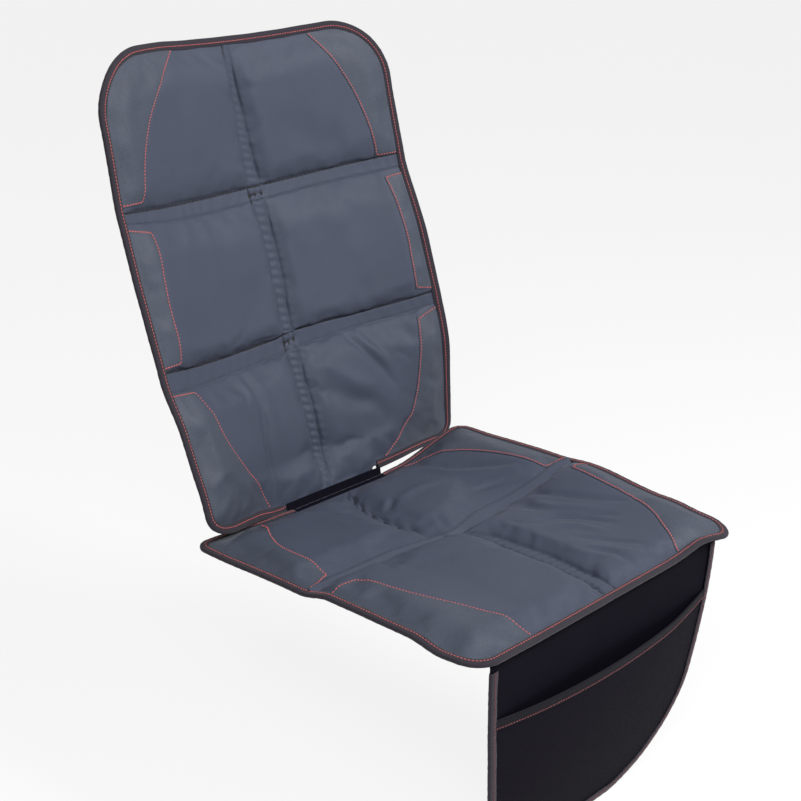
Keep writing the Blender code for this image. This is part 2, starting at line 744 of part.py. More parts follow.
def build():
    """Build the whole mat."""
    clear_scene()
    collection = bpy.data.collections.new("car_seat_protector_mat")
    bpy.context.scene.collection.children.link(collection)
    back_curves = (
        ("head", BACK_HEAD_CURVE, BACK_HEAD_LEFT_CURVE),
        ("side", BACK_SIDE_CURVE, BACK_SIDE_CURVE),
        ("foot", BACK_FOOT_CURVE, BACK_FOOT_CURVE),
    )
    seat_curves = (
        ("rear", SEAT_REAR_CURVE, SEAT_REAR_CURVE),
        ("front", SEAT_FRONT_CURVE, SEAT_FRONT_CURVE),
    )
    padded_panel(
        "back", back_sheet, BACK_ROWS, (SLOT, BACK_HEIGHT), (BACK_FOOT_RADIUS, BACK_TOP_RADIUS),
        back_curves, collection
    )
    padded_panel(
        "seat", seat_sheet, SEAT_ROWS, (0.0, SEAT_DEPTH), (SEAT_REAR_RADIUS, SEAT_FRONT_RADIUS),
        seat_curves, collection
    )
    joint_gusset(collection)
    headrest_strap(collection)
    front_flap(collection)


build()
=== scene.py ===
# %% [markdown]
# # A padded car seat protector mat
# The mat is sewn from flat pieces: two quilted panels (back and seat), leatherette patches,
# a folded tape round every edge, and a near-black front flap with a mesh pocket. It lies on
# a car seat, so every piece here is drawn flat first, as a sewer cuts it, and is then laid
# on the same curved surface as the solid model, which is loaded as a fixed frame.

# %% Load the frame
import math

import bpy
import numpy as np
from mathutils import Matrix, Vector
from mathutils.bvhtree import BVHTree


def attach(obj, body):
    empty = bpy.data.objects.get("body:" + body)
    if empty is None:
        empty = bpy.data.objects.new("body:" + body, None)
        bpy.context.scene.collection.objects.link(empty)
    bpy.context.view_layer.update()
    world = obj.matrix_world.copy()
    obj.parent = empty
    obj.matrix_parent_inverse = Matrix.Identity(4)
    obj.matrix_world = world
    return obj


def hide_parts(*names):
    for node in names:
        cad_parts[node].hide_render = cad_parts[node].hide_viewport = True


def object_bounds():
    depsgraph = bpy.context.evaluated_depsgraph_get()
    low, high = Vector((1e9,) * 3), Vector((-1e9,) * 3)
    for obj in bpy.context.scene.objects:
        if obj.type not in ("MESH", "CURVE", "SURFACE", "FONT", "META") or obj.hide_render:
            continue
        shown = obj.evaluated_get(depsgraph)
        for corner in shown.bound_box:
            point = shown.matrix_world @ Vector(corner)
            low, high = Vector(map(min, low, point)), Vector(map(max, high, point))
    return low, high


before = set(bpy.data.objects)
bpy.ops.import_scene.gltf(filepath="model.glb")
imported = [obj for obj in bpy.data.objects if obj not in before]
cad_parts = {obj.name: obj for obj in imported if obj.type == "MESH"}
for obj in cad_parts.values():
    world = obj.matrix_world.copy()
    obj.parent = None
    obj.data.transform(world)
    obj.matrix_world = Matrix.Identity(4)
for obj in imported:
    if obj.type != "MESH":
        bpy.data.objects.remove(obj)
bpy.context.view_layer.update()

# %% [markdown]
# ## Sizes
# The sizes are those of the sewn pieces, in metres. The stack is thin: a backing, the foam,
# the face cloth, and on top of that the patches and the edge tape.

# %% Name the sizes
HALF = 0.239
SEAT_DEPTH = 0.436
BACK_HEIGHT = 0.593
FLAP_DROP = 0.2825
FACE_TOP = 0.0027
BAND = 0.0116
CROWN = 0.0098
SLOT = 0.0070
JOINT = 0.080
CHANNEL = 0.019
BACK_SEAMS = (0.213, 0.398)
SEAT_SEAM = 0.185


# %% [markdown]
# ## The surface that the mat lies on
# Cloth has no shape of its own. Three functions turn a point of the flat pattern, in metres
# across and along, into a point in the room: one for the back panel, which leans in three
# rows and hollows between the bolsters, one for the seat panel, whose sides ride up, and one
# for the flap, which hangs. They take whole arrays, so a panel is laid in one step.

# %% Ease from one value to the next
def ease(x):
    x = np.clip(x, 0.0, 1.0)
    return x * x * (3.0 - 2.0 * x)


def eased(x, marks, values):
    result = np.full(np.shape(x), values[-1], dtype=float)
    for k in reversed(range(len(marks) - 1)):
        part = ease((x - marks[k]) / (marks[k + 1] - marks[k]))
        result = np.where(x < marks[k + 1], values[k] + (values[k + 1] - values[k]) * part, result)
    return result


# %% Lean of the back panel
STEPS = 240
STEP = BACK_HEIGHT * 1.05 / STEPS
spine_at = np.linspace(0.0, BACK_HEIGHT * 1.05, STEPS + 1)
middles = (np.arange(STEPS) + 0.5) * STEP
spine_lean = np.radians(
    11.4 + 9.1 * ease((middles - BACK_SEAMS[0]) / 0.016 + 0.5)
    - 8.2 * ease((middles - BACK_SEAMS[1]) / 0.016 + 0.5)
)
spine_run = np.concatenate([[0.0], np.cumsum(np.sin(spine_lean) * STEP)])
spine_rise = np.concatenate([[0.0], np.cumsum(np.cos(spine_lean) * STEP)])
spine_lean = np.append(spine_lean, spine_lean[-1])
print("the back panel rises", round(float(spine_rise[-1]), 3), "m")


# %% Bring the sides forward over the bolsters
BOLSTER_MARKS = (0.0, 0.07, 0.14, 0.213, 0.305, 0.398, 0.50, BACK_HEIGHT)
BOLSTER_LEFT = (0.0080, 0.0110, 0.0140, -0.0020, -0.0010, 0.0030, 0.0060, 0.0160)
BOLSTER_RIGHT = (0.0090, 0.0130, 0.0140, 0.0080, 0.0120, 0.0060, 0.0030, 0.0020)


def bolster(u, v):
    side = np.where(u < 0, eased(v, BOLSTER_MARKS, BOLSTER_LEFT), eased(v, BOLSTER_MARKS, BOLSTER_RIGHT))
    corner = ease((-u - 0.1) / (HALF - 0.1)) * ease((v - BACK_HEIGHT) / 0.12 + 1.025)
    return side * (u / HALF) ** 4, 0.010 * corner


# %% Lay the back panel, first without and then with the droop of its lower left part
def back_plain(u, v):
    u, v = np.broadcast_arrays(np.asarray(u, float), np.asarray(v, float))
    lean = np.interp(v, spine_at, spine_lean)
    run = np.interp(v, spine_at, spine_run) + np.minimum(v, 0.0) * np.sin(lean)
    rise = np.interp(v, spine_at, spine_rise) + np.minimum(v, 0.0) * np.cos(lean)
    bow = 1.0 - (u / HALF) ** 2
    depth = eased(v, (0.0, 0.06) + BACK_SEAMS + (BACK_HEIGHT,), (0.0, 0.022, 0.046, 0.039, 0.033)) * bow
    dip = eased(v, (BACK_SEAMS[1], BACK_HEIGHT), (0.0, 0.009)) * bow
    fade = 1.0 - ease(v / (BACK_SEAMS[0] - CHANNEL))
    reach = ease((np.abs(u) - JOINT) / (HALF - JOINT)) * fade
    forward, sag = bolster(u, v)
    y = SEAT_DEPTH / 2 + 0.0045 + run + depth * np.cos(lean) + np.where(u < 0, -0.029, 0.020) * reach - forward
    z = 0.003 + rise - depth * np.sin(lean) + np.where(u < 0, 0.018, -0.002) * reach - dip - sag
    return np.stack([u, y, z], -1)


def back_sheet(u, v):
    u, v = np.asarray(u, float), np.asarray(v, float)
    drop = 0.0065 * ease((-u - 0.070) / 0.02) * (1.0 - ease((-u - 0.19) / 0.04))
    drop = drop + 0.0045 * ease((-u - 0.070) / 0.014) * (1.0 - ease((-u - 0.10) / 0.04))
    drop = drop * (1.0 - ease(v / 0.06))
    return back_plain(u, v) - drop[..., None] * (0.0, 0.0, 1.0)


# %% Lay the seat panel, first without and then with its low front right corner
LIFT_MARKS = (0.0, 0.140, 0.180, 0.225, 0.340, 0.394, SEAT_DEPTH)
LIFT_LEFT = (0.0050, 0.0072, 0.0068, 0.0150, 0.0140, 0.0055, 0.0020)
LIFT_RIGHT = (0.0255, 0.0280, 0.0274, 0.0300, 0.0172, 0.0130, 0.0105)


def seat_lift(u, w):
    side = np.where(u < 0, eased(w, LIFT_MARKS, LIFT_LEFT), eased(w, LIFT_MARKS, LIFT_RIGHT))
    side = side * ease((np.abs(u) - 0.1) / (HALF - 0.1))
    front = 0.003 * ease((w - SEAT_DEPTH + 0.067) / 0.045)
    return side + front + 0.0014 * ease((np.abs(u) - JOINT) / 0.022) * (1.0 - ease((w - 0.013) / 0.045))


def seat_plain(u, w):
    u, w = np.broadcast_arrays(np.asarray(u, float), np.asarray(w, float))
    return np.stack([u, SEAT_DEPTH / 2 - w, seat_lift(u, w)], -1)


def seat_sheet(u, w):
    u, w = np.asarray(u, float), np.asarray(w, float)
    corner = 0.010 * ease((u - 0.165) / 0.07) * ease((w - 0.36) / 0.076)
    return seat_plain(u, w) - corner[..., None] * (0.0, 1.0, 1.0)


# %% Lay the front flap
def flap_sheet(u, t):
    u, t = np.broadcast_arrays(np.asarray(u, float), np.asarray(t, float))
    radius = 0.006 / (math.pi / 2)
    turn = np.clip(t / 0.006 + 0.5, 0.0, 1.0) * math.pi / 2
    swing = 0.028 * (np.maximum(t, 0.0) / FLAP_DROP) ** 1.6
    y = -SEAT_DEPTH / 2 + 0.0056 + radius * (1.0 - np.sin(turn)) + np.maximum(-t - 0.003, 0.0) + swing
    z = -0.0025 - radius * (1.0 - np.cos(turn)) - np.maximum(t - 0.003, 0.0) + seat_lift(u, SEAT_DEPTH)
    return np.stack([u - 0.0036 * ease((t + 0.02) / 0.03), y, z], -1)


FACING = {back_sheet: 1.0, back_plain: 1.0, seat_sheet: -1.0, seat_plain: -1.0, flap_sheet: -1.0}


# %% Stand a point off a surface
def outward(sheet, u, v):
    step = 0.0004
    across = sheet(u + step, v) - sheet(u - step, v)
    along = sheet(u, v + step) - sheet(u, v - step)
    normal = np.cross(across, along) * FACING[sheet]
    return normal / np.linalg.norm(normal, axis=-1, keepdims=True)


def lay(sheet, u, v, height):
    u, v = np.asarray(u, float), np.asarray(v, float)
    return sheet(u, v) + outward(sheet, u, v) * np.asarray(height, float)[..., None]


# %% [markdown]
# ## Marks picked on the photograph
# Seams, folds and stitched edges wander. Points on them were picked on the photograph,
# as pixels of its 801-pixel frame, x to the right and y down. The camera was solved from the
# mat's corners and edges, so the place on the flat pattern that shows at a pixel can be
# worked out: a guess is moved until it lands on the mark. The plain sheets serve for this.

# %% The camera of the photograph
PHOTO_PIXELS = 801
FOCAL_PIXELS = 1560.09
AZIMUTH, ELEVATION = math.radians(-47.18), math.radians(19.77)
AIM = (-0.0082, 0.1, 0.158)
TOWARD_CAMERA = np.array([
    math.sin(AZIMUTH) * math.cos(ELEVATION), -math.cos(AZIMUTH) * math.cos(ELEVATION), math.sin(ELEVATION),
])
EYE = np.array(AIM) + 1.8665 * TOWARD_CAMERA
PICTURE_RIGHT = np.array([math.cos(AZIMUTH), math.sin(AZIMUTH), 0.0])
PICTURE_UP = np.cross(TOWARD_CAMERA, PICTURE_RIGHT)


def pixel_of(points):
    ray = points - EYE
    scale = FOCAL_PIXELS / (ray @ -TOWARD_CAMERA)
    return np.stack([ray @ PICTURE_RIGHT * scale, ray @ -PICTURE_UP * scale], -1) + PHOTO_PIXELS / 2


# %% Find the places on the flat pattern that show at the marks
def picked(sheet, height, marks):
    marks = np.array(marks, float)
    places = np.zeros(marks.shape) + (0.0, 0.2)
    nudge, longest = 0.0001, 0.05
    for attempt in range(40):
        u, v = places.T
        here = pixel_of(lay(sheet, u, v, height))
        across = (pixel_of(lay(sheet, u + nudge, v, height)) - here) / nudge
        along = (pixel_of(lay(sheet, u, v + nudge, height)) - here) / nudge
        move = np.linalg.solve(np.stack([across, along], -1), (marks - here)[..., None])[..., 0]
        length = np.maximum(np.linalg.norm(move, axis=1), 1e-12)
        places += move * np.minimum(1.0, longest / length)[:, None]
    return places


def on_back(height, *marks):
    return picked(back_plain, height, marks).tolist()


def on_seat(height, *marks):
    return picked(seat_plain, height, marks).tolist()


# %% [markdown]
# ## Finishes
# Every cloth gets its own node material. The thread patterns are functions of the flat
# pattern, which each piece carries as a UV map in metres, so a weave keeps its real size
# and follows the surface however the piece is laid.

# %% Helpers for node materials
def new_finish(name, colour, roughness, specular=0.3):
    finish = bpy.data.materials.new(name)
    finish.use_nodes = True
    shader = finish.node_tree.nodes["Principled BSDF"]
    shader.inputs["Base Color"].default_value = (*colour, 1.0)
    shader.inputs["Roughness"].default_value = roughness
    shader.inputs["Specular IOR Level"].default_value = specular
    return finish, finish.node_tree.nodes, finish.node_tree.links, shader


def math_node(nodes, links, kind, first, second=None):
    node = nodes.new("ShaderNodeMath")
    node.operation = kind
    for slot, value in zip(node.inputs, (first, second)):
        if isinstance(value, (int, float)):
            slot.default_value = value
        elif value is not None:
            links.new(value, slot)
    return node.outputs[0]


def pattern_axes(nodes, links):
    where = nodes.new("ShaderNodeUVMap")
    where.uv_map = "pattern"
    split = nodes.new("ShaderNodeSeparateXYZ")
    links.new(where.outputs["UV"], split.inputs[0])
    return where.outputs["UV"], split.outputs["X"], split.outputs["Y"]


def noise_node(nodes, links, source, scale, detail=2.0, rough=0.5):
    node = nodes.new("ShaderNodeTexNoise")
    node.inputs["Scale"].default_value = scale
    node.inputs["Detail"].default_value = detail
    node.inputs["Roughness"].default_value = rough
    links.new(source, node.inputs["Vector"])
    return node.outputs["Fac"]


def blend_colours(nodes, links, factor, dark, light):
    ramp = nodes.new("ShaderNodeMix")
    ramp.data_type = "RGBA"
    links.new(factor, ramp.inputs["Factor"])
    ramp.inputs["A"].default_value = (*dark, 1.0)
    ramp.inputs["B"].default_value = (*light, 1.0)
    return ramp.outputs["Result"]


def add_bump(nodes, links, shader, height, strength, distance):
    bump = nodes.new("ShaderNodeBump")
    bump.inputs["Strength"].default_value = strength
    bump.inputs["Distance"].default_value = distance
    links.new(height, bump.inputs["Height"])
    links.new(bump.outputs["Normal"], shader.inputs["Normal"])


# %% [markdown]
# The face cloth is a plain-woven nylon: thick threads in both directions, dull in the dips
# and slightly shiny on the crowns. Two sine waves multiplied give over and under crossings
# 0.9 mm apart, and slow noise makes the faint cloudiness of a dyed cloth.

# %% Woven cloth
def woven(name, dark, light, roughness, pitch, specular=0.35, bump=0.5, sheen=0.15):
    finish, nodes, links, shader = new_finish(name, light, roughness, specular)
    place, across, along = pattern_axes(nodes, links)
    warp = math_node(nodes, links, "SINE", math_node(nodes, links, "MULTIPLY", across, math.pi / pitch))
    weft = math_node(nodes, links, "SINE", math_node(nodes, links, "MULTIPLY", along, math.pi / pitch))
    crossing = math_node(nodes, links, "MULTIPLY", warp, weft)
    crown = math_node(nodes, links, "ABSOLUTE", crossing)
    clouds = noise_node(nodes, links, place, 16.0, 3.0, 0.6)
    slubs = noise_node(nodes, links, place, 420.0, 2.0, 0.7)
    mixed = math_node(nodes, links, "MULTIPLY", math_node(nodes, links, "ADD", clouds, slubs), 0.34)
    mixed = math_node(nodes, links, "ADD", mixed, math_node(nodes, links, "MULTIPLY", crown, 0.4))
    links.new(blend_colours(nodes, links, mixed, dark, light), shader.inputs["Base Color"])
    shader.inputs["Sheen Weight"].default_value = sheen
    shader.inputs["Sheen Roughness"].default_value = 0.45
    rough = nodes.new("ShaderNodeMapRange")
    rough.inputs["To Min"].default_value = roughness + 0.08
    rough.inputs["To Max"].default_value = roughness - 0.06
    links.new(mixed, rough.inputs["Value"])
    links.new(rough.outputs["Result"], shader.inputs["Roughness"])
    height = math_node(nodes, links, "ADD", crossing, math_node(nodes, links, "MULTIPLY", slubs, 0.7))
    add_bump(nodes, links, shader, height, bump, 0.00012)
    return finish


oxford = woven("oxford_cloth", (0.029, 0.034, 0.052), (0.062, 0.072, 0.108), 0.50, 0.0009, 0.14, 0.5, 0.03)
flap_weave = woven(
    "flap_cloth", (0.0036, 0.0031, 0.0058), (0.0074, 0.0065, 0.0116), 0.70, 0.0007, 0.02, 0.5, 0.0
)
print("woven finishes:", oxford.name, flap_weave.name)


# %% [markdown]
# Leatherette is a coated cloth with a printed pebble grain. Cells from a Voronoi texture
# give the pebbles, their edges the fine valleys, and a little noise breaks up the sheen.

# %% Leatherette
def grained():
    finish, nodes, links, shader = new_finish("leatherette", (0.050, 0.060, 0.082), 0.5, 0.2)
    place, across, along = pattern_axes(nodes, links)
    cells = nodes.new("ShaderNodeTexVoronoi")
    cells.feature = "DISTANCE_TO_EDGE"
    cells.inputs["Scale"].default_value = 620.0
    links.new(place, cells.inputs["Vector"])
    edge = nodes.new("ShaderNodeMapRange")
    edge.inputs["From Max"].default_value = 0.35
    links.new(cells.outputs["Distance"], edge.inputs["Value"])
    clouds = noise_node(nodes, links, place, 30.0, 3.0, 0.6)
    tone = math_node(nodes, links, "MULTIPLY", math_node(nodes, links, "ADD", edge.outputs[0], clouds), 0.5)
    colour = blend_colours(nodes, links, tone, (0.034, 0.040, 0.056), (0.064, 0.076, 0.104))
    links.new(colour, shader.inputs["Base Color"])
    rough = nodes.new("ShaderNodeMapRange")
    rough.inputs["To Min"].default_value = 0.62
    rough.inputs["To Max"].default_value = 0.46
    links.new(tone, rough.inputs["Value"])
    links.new(rough.outputs["Result"], shader.inputs["Roughness"])
    add_bump(nodes, links, shader, edge.outputs[0], 0.45, 0.00018)
    return finish


leatherette = grained()


# %% [markdown]
# The edge tape is a dark ribbon, ribbed across its width. The elastic of the strap has
# coarser ribs, which run along its length.

# %% Ribbed tape and elastic
def ribbed(name, dark, light, pitch, along_ribs=False, roughness=0.7):
    finish, nodes, links, shader = new_finish(name, light, roughness, 0.1)
    place, across, along = pattern_axes(nodes, links)
    source = across if along_ribs else along
    wave = math_node(nodes, links, "SINE", math_node(nodes, links, "MULTIPLY", source, 2 * math.pi / pitch))
    rib = math_node(nodes, links, "ADD", math_node(nodes, links, "MULTIPLY", wave, 0.5), 0.5)
    fuzz = noise_node(nodes, links, place, 900.0, 2.0, 0.6)
    tone = math_node(nodes, links, "MULTIPLY", math_node(nodes, links, "ADD", rib, fuzz), 0.5)
    links.new(blend_colours(nodes, links, tone, dark, light), shader.inputs["Base Color"])
    shader.inputs["Sheen Weight"].default_value = 0.1
    add_bump(nodes, links, shader, tone, 0.6, 0.0002)
    return finish


tape_finish = ribbed("binding_tape", (0.013, 0.011, 0.016), (0.034, 0.029, 0.040), 0.0011)
elastic_finish = ribbed("elastic_webbing", (0.008, 0.008, 0.009), (0.026, 0.026, 0.029), 0.0016, True)


# %% [markdown]
# Sewing thread is two plies twisted together. A wave set at an angle to the thread gives the
# twist, and each ply is a little lighter on its crown.

# %% Sewing thread
def thread(name, dark, light):
    finish, nodes, links, shader = new_finish(name, light, 0.55, 0.35)
    place, across, along = pattern_axes(nodes, links)
    slant = math_node(nodes, links, "ADD", math_node(nodes, links, "MULTIPLY", across, 2.0), along)
    wave = math_node(nodes, links, "SINE", math_node(nodes, links, "MULTIPLY", slant, 2 * math.pi * 3))
    ply = math_node(nodes, links, "ADD", math_node(nodes, links, "MULTIPLY", wave, 0.5), 0.5)
    links.new(blend_colours(nodes, links, ply, dark, light), shader.inputs["Base Color"])
    add_bump(nodes, links, shader, ply, 0.4, 0.0001)
    return finish


red_thread = thread("red_thread", (0.30, 0.055, 0.055), (0.46, 0.112, 0.110))
dull_thread = thread("dull_red_thread", (0.100, 0.018, 0.024), (0.180, 0.038, 0.046))
dark_thread = thread("dark_thread", (0.020, 0.022, 0.030), (0.055, 0.060, 0.080))


# %% [markdown]
# The pocket is a warp-knitted mesh: rows of small dark holes, each row set half a step
# sideways. The holes are a product of two waves, and they are only darker and lower, since
# the near-black flap right behind them looks the same.
# The backing is a non-slip cloth with rows of small rubber dots.

# %% Pocket mesh and non-slip backing
def dotted(name, base, dot, pitch, raised, roughness, dot_share):
    finish, nodes, links, shader = new_finish(name, base, roughness, 0.03)
    place, across, along = pattern_axes(nodes, links)
    sides = []
    for source, other, sign in ((across, along, 1.0), (across, along, -1.0)):
        slant = math_node(nodes, links, "ADD", source, math_node(nodes, links, "MULTIPLY", other, sign))
        turned = math_node(nodes, links, "MULTIPLY", slant, math.pi / pitch)
        sides.append(math_node(nodes, links, "COSINE", turned))
    level = math_node(nodes, links, "ABSOLUTE", math_node(nodes, links, "MULTIPLY", sides[0], sides[1]))
    spot = nodes.new("ShaderNodeMapRange")
    spot.interpolation_type = "SMOOTHSTEP"
    spot.inputs["From Min"].default_value = dot_share
    spot.inputs["From Max"].default_value = dot_share + 0.25
    links.new(level, spot.inputs["Value"])
    links.new(blend_colours(nodes, links, spot.outputs[0], base, dot), shader.inputs["Base Color"])
    fuzz = math_node(nodes, links, "MULTIPLY", noise_node(nodes, links, place, 1200.0), 0.5)
    height = math_node(nodes, links, "ADD", math_node(nodes, links, "MULTIPLY", spot.outputs[0], raised), fuzz)
    add_bump(nodes, links, shader, height, 0.6, 0.0004)
    return finish


mesh_finish = dotted("pocket_mesh", (0.0090, 0.0078, 0.0130), (0.0024, 0.0021, 0.0040), 0.0026, -1.0, 0.7, 0.35)
backing_finish = dotted("backing_cloth", (0.022, 0.022, 0.025), (0.034, 0.034, 0.038), 0.0075, 1.0, 0.8, 0.55)
print("finishes:", len([m for m in bpy.data.materials if m.use_nodes]))


# %% [markdown]
# ## Flat patterns
# A panel starts as a flat grid, as a cutting table has it. Its columns and rows are closer
# together along the seams, where the cloth bends most, and the corners are cut round. The
# edge tape covers the cut, so the cut may follow the grid.

# %% Space grid lines between seams
def spaced(knots, cell):
    lines = [knots[0]]
    for a, b in zip(knots, knots[1:]):
        count = max(int(math.ceil((b - a) / cell - 1e-6)), 1)
        lines += [a + (b - a) * (k + 1) / count for k in range(count)]
    return np.array(lines)


def start_clean():
    if bpy.context.object and bpy.context.object.mode != "OBJECT":
        bpy.ops.object.mode_set(mode="OBJECT")
    bpy.ops.object.select_all(action="DESELECT")


def select_only(piece):
    start_clean()
    bpy.context.view_layer.objects.active = piece
    piece.select_set(True)


def flip_faces(piece):
    select_only(piece)
    bpy.ops.object.mode_set(mode="EDIT")
    bpy.ops.mesh.select_all(action="SELECT")
    bpy.ops.mesh.flip_normals()
    bpy.ops.object.mode_set(mode="OBJECT")


def close_tube(piece):
    select_only(piece)
    bpy.ops.object.mode_set(mode="EDIT")
    bpy.ops.mesh.select_all(action="SELECT")
    bpy.ops.mesh.remove_doubles(threshold=1e-6)
    bpy.ops.mesh.select_all(action="DESELECT")
    bpy.ops.mesh.select_mode(type="EDGE")
    bpy.ops.mesh.select_non_manifold(extend=False)
    bpy.ops.mesh.fill_holes(sides=0)
    bpy.ops.mesh.select_all(action="SELECT")
    bpy.ops.mesh.normals_make_consistent(inside=False)
    bpy.ops.object.mode_set(mode="OBJECT")


# %% Draw a grid with the given lines
def flat_grid(name, columns, rows):
    start_clean()
    bpy.ops.mesh.primitive_grid_add(
        x_subdivisions=len(columns) - 1, y_subdivisions=len(rows) - 1, size=2.0, location=(0, 0, 0)
    )
    piece = bpy.context.object
    piece.name = piece.data.name = name
    spots = np.empty(len(piece.data.vertices) * 3)
    piece.data.vertices.foreach_get("co", spots)
    spots = spots.reshape(-1, 3)
    u = columns[np.rint((spots[:, 0] + 1) / 2 * (len(columns) - 1)).astype(int)]
    v = rows[np.rint((spots[:, 1] + 1) / 2 * (len(rows) - 1)).astype(int)]
    place_points(piece, np.stack([u, v, np.zeros_like(u)], -1))
    return piece


def place_points(piece, points):
    piece.data.vertices.foreach_set("co", np.ascontiguousarray(points, dtype=np.float32).ravel())
    piece.data.update()


def points_of(piece):
    spots = np.empty(len(piece.data.vertices) * 3)
    piece.data.vertices.foreach_get("co", spots)
    return spots.reshape(-1, 3)


# %% Keep the flat pattern as a UV map
def keep_pattern(piece, u, v):
    for layer in list(piece.data.uv_layers):
        piece.data.uv_layers.remove(layer)
    layer = piece.data.uv_layers.new(name="pattern")
    corners = np.empty(len(piece.data.loops), dtype=np.int64)
    piece.data.loops.foreach_get("vertex_index", corners)
    layer.data.foreach_set("uv", np.stack([u[corners], v[corners]], -1).astype(np.float32).ravel())


# %% Cut a grid to an outline
def cut_away(piece, lost):
    select_only(piece)
    bpy.ops.object.mode_set(mode="EDIT")
    bpy.ops.mesh.select_mode(type="FACE")
    bpy.ops.mesh.select_all(action="DESELECT")
    bpy.ops.object.mode_set(mode="OBJECT")
    centres = np.empty(len(piece.data.polygons) * 3)
    piece.data.polygons.foreach_get("center", centres)
    centres = centres.reshape(-1, 3)
    piece.data.polygons.foreach_set("select", lost(centres[:, 0], centres[:, 1]))
    bpy.ops.object.mode_set(mode="EDIT")
    bpy.ops.mesh.delete(type="FACE")
    bpy.ops.object.mode_set(mode="OBJECT")


def apply_modifier(piece, kind, **settings):
    select_only(piece)
    step = piece.modifiers.new(kind.title(), kind)
    for key, value in settings.items():
        setattr(step, key, value)
    bpy.ops.object.modifier_apply(modifier=step.name)


# %% Finish a piece
def finish_piece(piece, finish, replaced=(), angle=None):
    piece.data.materials.clear()
    piece.data.materials.append(finish)
    select_only(piece)
    if angle is None:
        bpy.ops.object.shade_smooth()
    else:
        bpy.ops.object.shade_smooth_by_angle(angle=math.radians(angle))
    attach(piece, "root")
    if replaced:
        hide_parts(*replaced)
    print(piece.name, len(piece.data.polygons), "faces")
    return piece


# %% [markdown]
# ## Outlines and seam lines
# The corners are arcs, the same ones as in the solid model. The edge distance is what the
# tape and the padding are measured from.

# %% Distance from a panel's edge
def edge_distance(u, v, low, high, low_radius, high_radius):
    x = np.abs(u)
    inner = np.minimum(HALF - x, np.minimum(v - low, high - v))
    for level, radius, sign in ((low, low_radius, -1.0), (high, high_radius, 1.0)):
        cx, cy = HALF - radius, level - sign * radius
        round_off = radius - np.hypot(x - cx, v - cy)
        inner = np.where((x > cx) & ((v - cy) * sign > 0), round_off, inner)
    return inner


BACK_LIMITS = (SLOT, BACK_HEIGHT, 0.026, 0.085)
SEAT_LIMITS = (0.0, SEAT_DEPTH, 0.020, 0.036)


# %% Run along a panel's edge, from the right end of the joint to the left end
def edge_run(low, high, low_radius, high_radius, step=0.004):
    def arc(cx, cy, radius, start):
        angles = np.radians(start + np.linspace(0, 90, max(int(radius * 1.571 / step), 6) + 1))
        return [(cx + radius * math.cos(a), cy + radius * math.sin(a)) for a in angles]

    marks = [(JOINT + 0.0003, low)]
    marks += arc(HALF - low_radius, low + low_radius, low_radius, -90)
    marks += arc(HALF - high_radius, high - high_radius, high_radius, 0)
    marks += arc(-HALF + high_radius, high - high_radius, high_radius, 90)
    marks += arc(-HALF + low_radius, low + low_radius, low_radius, 180)
    marks.append((-JOINT - 0.0003, low))
    return resample(marks, step)


def resample(marks, step):
    marks = np.array(marks, float)
    gaps = np.hypot(*np.diff(marks, axis=0).T)
    marks = marks[np.concatenate([[True], gaps > 1e-7])]
    reach = np.concatenate([[0.0], np.cumsum(np.hypot(*np.diff(marks, axis=0).T))])
    count = max(int(round(reach[-1] / step)), 1)
    stops = np.linspace(0.0, reach[-1], count + 1)
    return np.stack([np.interp(stops, reach, marks[:, 0]), np.interp(stops, reach, marks[:, 1])], -1)


def sideways(run):
    heading = np.gradient(run, axis=0)
    heading /= np.linalg.norm(heading, axis=1, keepdims=True)
    return np.stack([heading[:, 1], -heading[:, 0]], -1)


# %% Stitched inner edges of the patches
def bowed(start, control, end):
    t = np.linspace(0.0, 1.0, 5)[:, None]
    return (1 - t) ** 2 * np.array(start) + 2 * t * (1 - t) * np.array(control) + t**2 * np.array(end)


